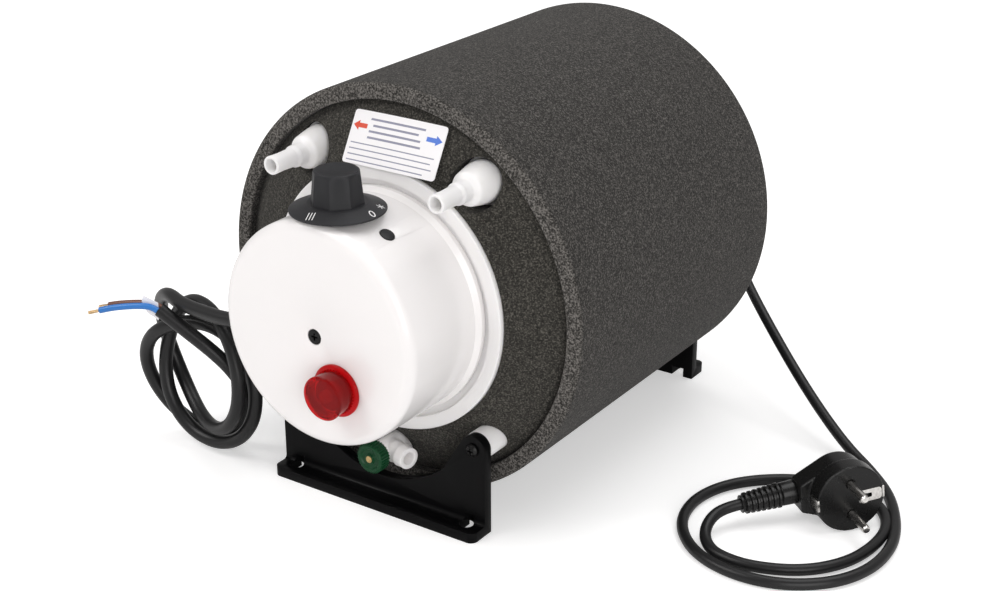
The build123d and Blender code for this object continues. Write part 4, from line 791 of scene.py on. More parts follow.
class Repeats:
    """Geometry trees that set one shape many times."""

    def __init__(self, name: str) -> None:
        """Start a tree with its named inputs.

        Args:
            name: the tree's name.
        """
        self.tree = bpy.data.node_groups.new(name, "GeometryNodeTree")
        self.add_input("Geometry", "Geometry")
        self.source = self.add_input("Source", "Object")
        self.count = self.add_input("Count", "Int")
        self.radius = self.add_input("Radius", "Float")
        self.finish = self.add_input("Finish", "Material")
        self.tree.interface.new_socket(name="Geometry", in_out="OUTPUT",
                                       socket_type="NodeSocketGeometry")
        self.start = self.tree.nodes.new("NodeGroupInput")

    def add_input(self, name: str, kind: str) -> str:
        """Add a named input and return its identifier."""
        new_socket = self.tree.interface.new_socket
        return new_socket(name=name, in_out="INPUT", socket_type="NodeSocket" + kind).identifier

    def close(self, points: Socket, rotation: Socket | None = None) -> None:
        """Set the source on each point, make it real and give it the finish.

        Args:
            points: the points.
            rotation: how the source is turned on each, if it is.
        """
        nodes, link = self.tree.nodes, self.tree.links.new
        info = nodes.new("GeometryNodeObjectInfo")
        put = nodes.new("GeometryNodeInstanceOnPoints")
        real = nodes.new("GeometryNodeRealizeInstances")
        paint = nodes.new("GeometryNodeSetMaterial")
        end = nodes.new("NodeGroupOutput")
        link(self.start.outputs["Source"], info.inputs["Object"])
        link(points, put.inputs["Points"])
        link(info.outputs["Geometry"], put.inputs["Instance"])
        if rotation:
            link(rotation, put.inputs["Rotation"])
        link(put.outputs["Instances"], real.inputs["Geometry"])
        link(real.outputs["Geometry"], paint.inputs["Geometry"])
        link(self.start.outputs["Finish"], paint.inputs["Material"])
        link(paint.outputs["Geometry"], end.inputs["Geometry"])

    @classmethod
    def ring(cls) -> "Repeats":
        """The source set round a circle, its first axis pointing outwards.

        Returns:
            The tree.
        """
        made = cls("round a ring")
        nodes, link = made.tree.nodes, made.tree.links.new
        circle = nodes.new("GeometryNodeMeshCircle")
        face = nodes.new("FunctionNodeAlignRotationToVector")
        place = nodes.new("GeometryNodeInputPosition")
        face.axis = "X"
        link(made.start.outputs["Count"], circle.inputs["Vertices"])
        link(made.start.outputs["Radius"], circle.inputs["Radius"])
        link(place.outputs["Position"], face.inputs["Vector"])
        made.close(circle.outputs["Mesh"], face.outputs["Rotation"])
        return made

    @classmethod
    def places(cls) -> "Repeats":
        """The source set on each point of the mesh that carries the modifier.

        Returns:
            The tree.
        """
        made = cls("on given places")
        made.close(made.start.outputs["Geometry"])
        return made

    def bake(self, name: str, source: Piece, finish: str, place: Matrix, count: int = 0,
             radius: float = 0.0, spots: tuple[Place, ...] = ((0, 0, 0),)) -> Piece:
        """Run the tree and keep its result as a plain mesh.

        Args:
            name: the piece's name.
            source: what is repeated; it ends here.
            finish: name of the finish.
            place: frame that the result is moved to.
            count: how many stand in a ring.
            radius: the ring's radius.
            spots: a place for each, for the tree that reads them.

        Returns:
            The piece.
        """
        mesh = bpy.data.meshes.new(name + " places")
        mesh.from_pydata(spots, [], [])
        obj = add(name + " tree", mesh)
        modifier = obj.modifiers.new("repeat", "NODES")
        modifier.node_group = self.tree
        for key, value in ((self.source, source), (self.count, count), (self.radius, radius),
                           (self.finish, Paints.get(finish))):
            modifier[key] = value
        made = as_it_looks(obj)
        obj.modifiers.clear()
        bpy.data.objects.remove(obj)
        bpy.data.objects.remove(source)
        made.name = name
        made.transform(place)
        return add(name, made)


@dataclass
class Insulation:
    """The foam tube and its two domed end discs."""

    outer: float = 120.0
    bore: float = 110.4
    front: float = 104.0
    back: float = 118.0
    ease: float = 2.4
    back_ease: float = 1.0
    front_ease: float = 1.2
    row_gap: float = 14.0
    wander: float = 0.035
    crest: float = 1.6
    skin: float = 3.0
    segments: int = 288

    def flow(self, turn: float, y: float) -> float:
        """Sum of two waves round the tube, at most the crest, at an angle in radians."""
        return math.sin(3 * turn + 0.4) + 0.6 * math.sin(7 * turn + 1.9 + y * 0.02)

    def jacket(self) -> None:
        """The tube, with rows of points along it and a slightly uneven outside."""
        profile = rounded(box(self.bore, -self.back, self.outer, self.front),
                          [self.back_ease, self.ease, self.ease, self.front_ease], 6)
        full = []
        for (r, h), (r_next, h_next) in zip(profile, profile[1:] + profile[:1]):
            steps = max(1, int(abs(h_next - h) / self.row_gap))
            full += [(r + (r_next - r) * k / steps, h + (h_next - h) * k / steps)
                     for k in range(steps)]
        tube = lathe("jacket", full, along(), self.segments)
        for v in tube.data.vertices:
            x, y, z = v.co.x / MM, v.co.y / MM, v.co.z / MM - AXIS_Z
            r = math.hypot(x, z)
            if r > self.outer - self.skin:
                inward = self.wander * (self.crest - self.flow(math.atan2(z, x), y))
                grow = 1 - inward / r
                v.co = Vector((x * grow, y, AXIS_Z + z * grow)) * MM
        settle(tube, "jacket_foam", "foam_jacket")

    def build(self) -> None:
        """Make the jacket and dress the discs."""
        self.jacket()
        dress("disc_foam", 0.5, "front_foam_disc", "rear_foam_disc")


@dataclass
class Tank:
    """The tank, its brackets and their screws, and what is sealed inside."""

    ear_x: float = 64.0
    ear_z: float = -71.7
    plate: float = 124.1
    head_r: float = 3.7
    head_h: float = 2.6
    cross_w: float = 1.1
    cross_deep: float = 1.1
    cut_over: float = 2.0

    def screw_head(self) -> Piece:
        """A pan head with a cross recess, its seat at height zero.

        Returns:
            The head, in millimetres.
        """
        r, h, w = self.head_r, self.head_h, self.cross_w
        profile = rounded([(0.0, h), (r * 0.55, h), (r, h * 0.45), (r, 0.0), (0.0, 0.0)],
                          [0, 1.5, 1.2, 0.2, 0], closed=False)
        head = lathe("head", profile, UNMOVED, 40, closed=False)
        cutters = [slab("cut", box(-wide / 2, -tall / 2, wide / 2, tall / 2),
                        h - self.cross_deep, h + self.cut_over, UNMOVED)
                   for wide, tall in ((w, r), (r, w))]
        for cutter in cutters:
            cut = head.modifiers.new("cut", "BOOLEAN")
            cut.object = cutter
            cut.operation, cut.solver = "DIFFERENCE", "EXACT"
        mesh = as_it_looks(head)
        head.modifiers.clear()
        head.data = mesh
        for cutter in cutters:
            bpy.data.objects.remove(cutter)
        return head

    def screws(self) -> None:
        """The four screws in the brackets' ears."""
        tree = Repeats.places()
        pairs = []
        for end in End:
            spots = tuple((x * end.value, self.ear_z, self.plate)
                          for x in (-self.ear_x, self.ear_x))
            pairs.append(tree.bake("ear screws", self.screw_head(), "black_steel",
                                   along(0, 0, end), spots=spots))
        settle(join("bracket_heads", pairs, 35), "black_steel", "bracket_screws")

    def build(self) -> None:
        """Dress the solids and make the screws."""
        dress("natural_plastic", 0.3, "tank_shell", "terminal_block_12v", "terminal_block_mains",
              "hot_pickup_tube", "cold_dip_tube")
        dress("grey_rubber", 0.3, "front_gasket", "rear_gasket", "nozzle_seals")
        dress("stainless", 0.3, "front_element_flange", "rear_element_flange",
              "heating_element_12v", "heating_element_mains", "sensor_pocket")
        dress("steel", 0.3, "flange_bolts", "cover_pillars")
        dress("brass", 0.3, "element_nuts")
        dress("copper", 0.3, "thermostat_bulb")
        dress("black_plastic", 0.3, "mains_thermal_limiter")
        dress("bracket", 0.5, "front_bracket", "rear_bracket")
        self.screws()


@dataclass
class Nozzle:
    """A hose nozzle of natural plastic: shank, swollen root, collar, barb and tail."""

    node: str
    x: float
    z: float = 75.0
    bore: float = 3.7
    inner: float = 76.0
    shank_r: float = 8.0
    foot: float = 98.2
    root_r: float = 12.2
    tail_r: float = 5.3
    tip: float = 143.0

    def build(self) -> None:
        """Turn the nozzle."""
        shank = [(self.bore, self.inner), (self.shank_r, self.inner), (self.shank_r, self.foot)]
        root = [(self.root_r, self.foot), (11.7, 104.0), (9.5, 115.2)]
        collar = [(6.3, 117.6), (6.1, 120.0), (6.0, 122.6)]
        barb = [(6.3, 123.0), (6.2, 124.4), (self.tail_r, 126.2)]
        tail = [(5.05, 135.0), (self.tail_r, self.tip), (self.bore, self.tip)]
        radii = [0, 0, 0, 0.8, 8.0, 3.2, 1.6, 1.0, 0.4, 0.5, 0.7, 1.2, 6.0, 0.7, 0.5]
        piece = lathe(self.node + "_turned", rounded(shank + root + collar + barb + tail, radii, 5),
                      along(self.x, self.z), 72)
        settle(piece, "natural_plastic", self.node)


@dataclass
class DrainValve:
    """Drain valve with a green hand wheel and a side spout."""

    z: float = -92.0
    bore: float = 2.05
    wheel_r: float = 8.55
    foot: float = 127.0
    thick: float = 8.0
    dish: float = 1.1
    ribs: int = 32

    def wheel(self) -> None:
        """The hand wheel: a dished disc with ribs round its rim."""
        r, low, high = self.wheel_r, self.foot, self.foot + self.thick
        corners = [(self.bore, low), (r, low), (r, high), (6.4, high), (5.6, high - self.dish),
                   (3.2, high - self.dish), (2.9, high), (self.bore, high)]
        place = along(0, self.z)
        disc = lathe("disc", rounded(corners, [0, 0.8, 1.0, 0.5, 0.6, 0.5, 0.3, 0.1]), place)
        section = rounded([(-0.6, -0.5), (0.7, -0.3), (0.7, 0.3), (-0.6, 0.5)],
                          [0, 0.3, 0.3, 0], 3)
        rib = slab("rib", section, low + 0.7, high - 0.5, UNMOVED, 0.2)
        ribs = Repeats.ring().bake("ribs", rib, "green_plastic", place, self.ribs, r)
        settle(join("drain_wheel_ribbed", [disc, ribs], 40), "green_plastic",
               "drain_valve_knob", body="drain_wheel")

    def build(self) -> None:
        """Make the wheel and dress the rest."""
        self.wheel()
        # The valve body takes the whitened moulding, whose extra whiteness is painted light against
        # the shadow under the front cover.
        dress("valve_plastic_painted_light", 0.3, "drain_valve_body")
        dress("grey_rubber", 0.2, "drain_valve_seal")
        dress("brass", 0.25, "drain_valve_spindle")


@dataclass
class Dial:
    """The thermostat's faceted knob on its wide skirt, with generic dial marks."""

    bore: float = 3.05
    skirt_r: float = 26.0
    skirt_low: float = 64.6
    foot_r: float = 24.6
    cone_r: float = 17.4
    slope_low: float = 0.9
    slope_top: float = 4.0
    step_r: float = 16.2
    step: float = 4.3
    facets: int = 8
    per_facet: int = 8
    grip_low: float = 3.6
    low_r: float = 14.9
    high_r: float = 13.2
    top: float = 86.6
    crown: float = 0.965
    hollow: float = 0.012
    corner: float = 0.04
    ink: tuple[float, float] = (-0.08, 0.06)
    body: str = "thermostat_dial"

    def skirt(self) -> Piece:
        """The skirt: a shallow cone with a rim.

        Returns:
            The skirt.
        """
        low = self.skirt_low
        corners = [(self.bore, low), (self.foot_r, low), (self.skirt_r, low),
                   (self.skirt_r, low + self.slope_low), (self.cone_r, low + self.slope_top),
                   (self.step_r, low + self.step), (self.bore, low + self.step)]
        return lathe("skirt", rounded(corners, [0, 0.2, 0.3, 0.5, 0.8, 0.3, 0]),
                     upright(0, FITTING_REACH), 128)

    def outline(self, r: float, round_share: float) -> Points:
        """The grip's outline at one height.

        Args:
            r: its half width across the corners.
            round_share: zero for the hollow facets, one for a circle.

        Returns:
            The outline.
        """
        side = 2 * math.pi / self.facets
        made = []
        for k in range(self.facets * self.per_facet):
            t = (k % self.per_facet) / self.per_facet - 0.5
            flat = math.cos(side / 2) / math.cos(t * side)
            hollow = 1 - self.hollow * math.cos(t * math.pi)
            ease = 1 - self.corner * max(0.0, abs(t) * 2 - 0.75)
            q = r * (flat * hollow * ease * (1 - round_share) + self.crown * round_share)
            a = side * (k / self.per_facet + 0.5)
            made.append((q * math.cos(a), q * math.sin(a)))
        return made

    def grip(self) -> Piece:
        """The faceted grip with slightly hollow sides, a round crown and a dished top.

        Returns:
            The grip.
        """
        low, top, r = self.skirt_low + self.grip_low, self.top, self.high_r
        levels = [(low, self.low_r, 0.0), (low + 1.4, self.low_r - 0.15, 0.0),
                  (top - 2.6, r, 0.0), (top - 1.6, r - 0.1, 0.5), (top - 0.5, r - 0.6, 1.0),
                  (top, r - 1.3, 1.0), (top - 0.1, r - 3.2, 1.0), (top - 0.5, r - 4.4, 1.0)]
        bm = bmesh.new()
        stretch(bm, [loop_at(bm, upright(0, FITTING_REACH), self.outline(wide, share), height)
                     for height, wide, share in levels], caps=True)
        return as_object("grip", bm, 22)

    def spot(self, angle: float, r: float, turn: float = 0.0) -> Matrix:
        """A place for a mark on the skirt's slope.

        Args:
            angle: its angle round the dial.
            r: its distance from the dial's axis.
            turn: how far it is turned on the face.

        Returns:
            A frame, its first axis outwards and its third off the face.
        """
        a = math.radians(angle)
        fall = math.atan2(self.slope_top - self.slope_low, self.skirt_r - self.cone_r)
        height = self.skirt_low + self.slope_top - (r - self.cone_r) * math.tan(fall)
        place = Matrix.Translation((r * math.cos(a), r * math.sin(a), height))
        lean = Matrix.Rotation(fall, 4, "Y")
        return upright(0, FITTING_REACH) @ place @ turned(angle) @ lean @ turned(turn)

    def bar(self, place: Matrix, length: float, shift: float = 0.0, turn: float = 0.0,
            wide: float = 0.22) -> Piece:
        """One printed stroke.

        Args:
            place: the mark's frame.
            length: the stroke's length.
            shift: how far it is set aside along the rim.
            turn: how far it is turned.
            wide: its half width.

        Returns:
            The stroke.
        """
        local = Matrix.Translation((0, shift, 0)) @ turned(turn)
        return slab("bar", box(-length / 2, -wide, length / 2, wide), *self.ink, place @ local)

    def nought(self, place: Matrix, wide: float = 2.7, deep: float = 1.6,
               stroke: float = 0.62) -> Piece:
        """A printed nought, its long way pointing outwards.

        Args:
            place: the mark's frame.
            wide: half its length.
            deep: half its width.
            stroke: width of its line.

        Returns:
            The nought.
        """
        bm = bmesh.new()
        low, high = self.ink
        stretch(bm, [loop_at(bm, place, ellipse(wide - inset, deep - inset, 32), height)
                     for inset, height in ((0, low), (0, high), (stroke, high), (stroke, low))],
                closed=True)
        return as_object("nought", bm)

    def marks(self) -> None:
        """Printed marks on the skirt: three slanted bars, a frost star and a nought."""
        bars, star = self.spot(-91.0, 21.6, 19.0), self.spot(29.0, 22.6)
        strokes = [self.bar(bars, 6.0, shift=shift) for shift in (-1.7, 0.0, 1.7)]
        strokes += [self.bar(star, 4.8, turn=turn) for turn in (0.0, 60.0, 120.0)]
        strokes.append(self.nought(self.spot(0.0, 22.7, -24.0)))
        settle(join("dial_marks", strokes), "mark_white", slot="dark_grey_plastic",
               body=self.body)

    def build(self) -> None:
        """Make the knob and its marks."""
        settle(join("dial", [self.skirt(), self.grip()], 24), "dark_grey_plastic",
               "thermostat_knob", body=self.body)
        self.marks()
        dress("steel", 0.2, "thermostat_shaft")


@dataclass
class Lamp:
    """Red pilot lamp: a clear turned cap with a ring of short teeth at its foot."""

    x: float = 14.5
    z: float = -27.0
    face: float = 177.6
    proud: float = 13.4
    wall: float = 1.3
    flange_r: float = 14.75
    wall_r: float = 12.0
    bead_r: float = 12.5
    teeth: int = 40
    teeth_r: float = 12.1

    def cap(self, place: Matrix) -> Piece:
        """The hollow cap with its flange and its bead.

        Args:
            place: the lamp's frame.

        Returns:
            The cap.
        """
        low, high = self.face, self.face + self.proud
        foot = [(10.4, low), (self.flange_r, low), (self.flange_r, low + 1.7), (13.6, low + 2.4),
                (self.wall_r, low + 2.6)]
        head = [(self.wall_r, high - 2.2), (self.bead_r, high - 1.8), (self.bead_r, high - 0.6),
                (11.6, high), (0.0, high)]
        roof = high - self.wall
        inside = [(0.0, roof), (10.0, roof), (10.5, roof - 0.5), (10.6, low)]
        outside = rounded(foot + head, [0, 0.3, 0.5, 0.5, 0.6, 0.3, 0.3, 0.5, 0.8, 0],
                          closed=False)
        return lathe("lens body", outside[1:] + inside + outside[:1], place, closed=False)

    def build(self) -> None:
        """Make the lens and dress what stands behind it."""
        place = along(self.x, self.z)
        tooth = slab("tooth", [(-0.3, -0.4), (0.6, -0.15), (0.6, 0.15), (-0.3, 0.4)],
                     self.face + 2.2, self.face + 3.4, UNMOVED)
        teeth = Repeats.ring().bake("teeth", tooth, "red_lens", place, self.teeth, self.teeth_r)
        settle(join("lens", [self.cap(place), teeth], 30), "red_lens", "pilot_lamp_lens")
        dress("lamp_glass", 0.2, "pilot_lamp_bulb")
        dress("black_plastic", 0.3, "pilot_lamp_holder", "pilot_lamp_nut")


@dataclass
class Covers:
    """The two round covers and what is fitted to them."""

    edge: float = 0.35
    fitting_edge: float = 0.3

    def build(self) -> None:
        """Dress the covers and their fittings."""
        dress("white_plastic", self.edge, "front_cover", "rear_cover")
        dress("black_plastic", self.fitting_edge, "cable_gland_12v", "mains_gland",
              "gland_nut_12v", "mains_gland_nut", "thermostat_body", "thermal_cutout",
              "reset_button")
        dress("black_steel", 0.25, "cover_screws")
        dress("steel", 0.2, "thermostat_screws")
        dress("steel", 0.1, "reset_spring")


@dataclass
class Label:
    """A plain label bent over the foam, with the two flow arrows and blank rules."""

    width: float = 62.0
    x: float = 4.0
    foot: float = 117.25
    rim: float = 77.6
    top: float = 102.5
    lap: float = 1.5
    gap: float = 0.25
    bend: float = 290.0
    thick: float = 0.4
    corner: float = 2.2
    arrow_x: float = 24.8
    arrow_down: float = 8.6
    rules: tuple[tuple[float, float, float, float], ...] = (
        (4.2, -18.5, 18.0, 0.6), (7.6, -16.0, 14.5, 0.6), (11.0, -18.0, 16.5, 0.6),
        (14.4, -18.0, 17.5, 0.6), (18.4, -28.5, 27.5, 0.32), (21.6, -28.5, 26.0, 0.32),
        (24.8, -28.5, 27.5, 0.32), (28.0, -28.5, 23.0, 0.32))

    def plane(self) -> tuple[Matrix, float]:
        """The plane that the label leans in, from the tank's rim to the foam's dome.

        Returns:
            Its frame, the first axis across and the second up, and the label's height.
        """
        rise = self.top - self.rim
        fall = self.foot - (dome(self.top) + self.gap)
        slope = math.hypot(rise, fall)
        up = Vector((0, fall / slope, rise / slope))
        foot = world(self.x, self.foot, self.rim) - up * self.lap * MM
        across = Vector((1, 0, 0))
        return basis(foot, across, across.cross(up)), slope + self.lap

    def bent(self, u: float, v: float, lift: float) -> Vector:
        """A point of the label from its middle line, up it and above its face.

        Args:
            u: distance from the middle line, along the bent face.
            v: distance up the label.
            lift: height above the face.

        Returns:
            The point in the label's frame.
        """
        r = self.bend + lift
        a = u / self.bend
        return Vector((r * math.sin(a), v, r * math.cos(a) - self.bend))

    def patch(self, name: str, outline: Points, low: float, high: float) -> Piece:
        """A thin bent patch, cut fine across so that it bends smoothly.

        Args:
            name: its name.
            outline: its corners, across and up the label.
            low: height of its underside above the film's.
            high: height of its top.

        Returns:
            The patch.
        """
        place, _ = self.plane()
        bm = bmesh.new()
        bm.faces.new(loop_at(bm, UNMOVED, outline))
        bm.normal_update()
        left, right = min(u for u, _ in outline), max(u for u, _ in outline)
        steps = max(2, int((right - left) / 2))
        for k in range(1, steps):
            cut = left + (right - left) * k / steps
            geometry = bm.verts[:] + bm.edges[:] + bm.faces[:]
            bmesh.ops.bisect_plane(bm, geom=geometry, plane_co=(cut, 0, 0), plane_no=(1, 0, 0))
        top = bmesh.ops.extrude_face_region(bm, geom=bm.faces[:])
        raised = {v for v in top["geom"] if isinstance(v, bmesh.types.BMVert)}
        for v in bm.verts:
            v.co = place @ self.bent(v.co.x, v.co.y, high if v in raised else low)
        return as_object(name, bm, 30)

    def arrow(self, u: float, v: float, way: int) -> Points:
        """An arrow.

        Args:
            u: its middle across the label.
            v: its middle up the label.
            way: 1 if it points right, -1 if left.

        Returns:
            Its outline.
        """
        shape = [(-4.9, -1.3), (0.9, -1.3), (0.9, -2.8), (4.9, 0), (0.9, 2.8), (0.9, 1.3),
                 (-4.9, 1.3)]
        return [(u + a * way, v + b) for a, b in shape][::way]

    def build(self) -> None:
        """Make the film, the arrows and the rules."""
        _, height = self.plane()
        film = self.patch("label_film", rounded(box(-self.width / 2, 0, self.width / 2, height),
                                                [self.corner] * 4, 5), 0.0, self.thick)
        settle(film, "paper", "label_plate")
        ink = self.thick - 0.02, self.thick + 0.03
        for name, finish, way in (("hot_arrow", "mark_red", -1), ("cold_arrow", "mark_blue", 1)):
            shape = self.arrow(self.arrow_x * way, height - self.arrow_down, way)
            settle(self.patch(name, shape, *ink), finish, slot="paper")
        rules = [self.patch("rule", box(start, height - down - half, end, height - down + half),
                            *ink) for down, start, end, half in self.rules]
        settle(join("label_rules", rules), "mark_ink", slot="paper")


def cord_line(name: str, points: list[Vector], radius: float, steps: int = 12) -> Piece:
    """A round cord whose smooth line has the route's points as control points.

    Args:
        name: the piece's name.
        points: the route in metres.
        radius: its radius.
        steps: steps between two points.

    Returns:
        The curve object.
    """
    data = bpy.data.curves.new(name, "CURVE")
    data.dimensions = "3D"
    spline = data.splines.new("NURBS")
    spline.points.add(len(points) - 1)
    for point, place in zip(spline.points, points):
        point.co = (*place, 1)
    spline.order_u = 3
    spline.use_endpoint_u = True
    data.resolution_u = steps
    data.bevel_depth = radius * MM
    data.bevel_resolution = 7
    data.use_fill_caps = True
    return add(name, data)


def line_length(points: list[Vector]) -> float:
    """Length of the smooth line that those control points give.

    Args:
        points: the route in metres.

    Returns:
        The length in metres.
    """
    probe = cord_line("probe", points, 0.0)
    mesh = as_it_looks(probe)
    total = sum((mesh.vertices[a].co - mesh.vertices[b].co).length
                for a, b in (e.vertices for e in mesh.edges))
    bpy.data.objects.remove(probe)
    bpy.data.meshes.remove(mesh)
    return total


@dataclass
class LowVoltageCable:
    """The low-voltage cable: out of its gland, three loose turns, two bare-ended cores."""

    radius: float = 4.25
    gland: float = 193.0
    run_out: float = 8.5
    centre: tuple[float, float] = (-130.95, -126.6)
    lean: float = 0.171
    tilt: float = 0.153
    turn_r: float = 40.9267
    spread: float = 9.11
    fan: float = -0.055
    twist: float = 1.25
    turns: float = 2.96
    start: float = 82.8
    phase: float = 331.4
    tail: float = 24.0
    per_turn: int = 16
    clear: float = 0.3
    core_r: float = 1.9
    core_apart: float = 4.5
    core_gap: float = 0.2
    steps: tuple[Place, ...] = (
        (4.0, 0.5, 0.0), (10.0, 3.6, 0.2), (19.0, 9.6, 0.5), (28.5, 16.4, 0.9), (38.0, 23.6, 1.4),
        (45.0, 29.4, 1.9))
    wires: int = 8
    wire_r: float = 0.27
    bundle_r: float = 0.72
    wire_steps: int = 12
    wire_length: float = 8.0
    wire_sunk: float = 0.6
    wire_twist: float = 1.6
    wire_flare: float = 0.18

    def axes(self) -> tuple[Vector, Vector, Vector]:
        """Unit vectors of the coil.

        Returns:
            The ways across it, up it and along its axis.
        """
        ahead = math.sqrt(1 - self.lean**2 - self.tilt**2)
        axis = Vector((self.lean, ahead, self.tilt))
        across = axis.cross(UP).normalized()
        across = across if across.x > 0 else -across
        return across, across.cross(axis).normalized(), axis

    def offset(self, turns: float) -> Vector:
        """The cable's place from the coil's centre, its turns twisting about each other.

        Args:
            turns: how many turns it has made.

        Returns:
            The place.
        """
        across, up, axis = self.axes()
        angle = math.radians(self.start) + 2 * math.pi * turns
        phase = math.radians(self.phase) + 2 * math.pi * self.twist * turns
        spread = self.spread * (1 - self.fan * math.sin(angle))
        reach = self.turn_r + spread * math.cos(phase)
        flat = across * (reach * math.cos(angle)) + up * (reach * math.sin(angle))
        return flat + axis * (spread * math.sin(phase))

    def route(self) -> list[Vector]:
        """The cable's way from its gland into the coil, which rests on the floor, and out.

        Returns:
            Control points in metres.
        """
        lowest = min(self.offset(self.turns * k / 360).z for k in range(361))
        centre = Vector((*self.centre, self.radius - lowest + self.clear))
        count = round(self.turns * self.per_turn)
        coil = [centre + self.offset(self.turns * k / count) for k in range(count + 1)]
        mouth, way = gland_mouth(self.gland, FITTING_REACH)
        out = (coil[-1] - coil[-2]).normalized() * self.tail
        ends = [coil[-1] + out / 2, coil[-1] + out]
        return [p * MM for p in [mouth, mouth + way * self.run_out] + coil + ends]

    def cores(self, end: Vector, way: Vector) -> None:
        """The two cores, each with its bundle of bare strands.

        Args:
            end: the sheath's end in metres.
            way: the way out of it.
        """
        across = way.cross(UP).normalized()
        cores, strands = [], []
        for side, reach, colour in ((1, 0.94, "brown"), (-1, 1.0, "blue")):
            first = end + way * self.core_gap * MM + across * (side * self.core_apart / 2) * MM
            route = [first] + [
                first + (way * run + across * (side * aside) - UP * drop) * reach * MM
                for run, drop, aside in self.steps]
            core = cord_line(colour + "_core", route, self.core_r)
            settle(core, colour + "_insulation", "core_" + colour)
            cores.append((core, first, line_length(route)))
            strands.append(self.bare_end(route[-1], route[-1] - route[-2]))
        bare = settle(join("copper_strands", strands), "copper", "core_copper_tips")

    def flag(self, end: Vector, way: Vector) -> Piece:
        """The paper flag that stands between the cores where they leave the sheath.

        Args:
            end: the sheath's end in metres.
            way: the way out of it.

        Returns:
            The flag.
        """
        level = Vector((way.x, way.y, 0)).normalized()
        place = basis(end, level, level.cross(UP))
        up = 1 if (place.to_3x3() @ Vector((0, 1, 0))).z > 0 else -1
        outline = [(0.4, -3.0), (1.2, -7.0), (8.2, -2.6), (11.0, 4.2), (9.6, 8.0), (0.6, 4.2)]
        flat = rounded([(x, y * up) for x, y in outline], [0.3] * 6, 3)
        return settle(slab("paper_flag", flat, -0.12, 0.12, place), "paper", "core_tag")

    def bare_end(self, tip: Vector, way: Vector) -> Piece:
        """A bundle of fine twisted wires beyond a core's insulation, one in its middle.

        Args:
            tip: the insulation's end in metres.
            way: the core's way there.

        Returns:
            The bundle.
        """
        place = basis(tip, UP, way)
        bm = bmesh.new()
        section = ellipse(self.wire_r, self.wire_r, 8)
        for k in range(self.wires + 1):
            loops = []
            for step in range(self.wire_steps + 1):
                t = step / self.wire_steps
                a = 2 * math.pi * k / self.wires + self.wire_twist * t
                r = (self.bundle_r if k else 0.0) * (1 + self.wire_flare * t)
                height = self.wire_length * t - self.wire_sunk
                centre = Matrix.Translation((r * math.cos(a), r * math.sin(a), height))
                loops.append(loop_at(bm, place @ centre, section))
            stretch(bm, loops, caps=True)
        return as_object("strands", bm, 50)

    def build(self) -> None:
        """Make the cable and its ends."""
        route = self.route()
        cable = cord_line("low_voltage_cable", route, self.radius, 8)
        settle(cable, "black_rubber", "cable_12v_coil")
        way = (route[-1] - route[-2]).normalized()
        line_length(route)
        self.flag(route[-1], way)
        self.cores(route[-1], way)


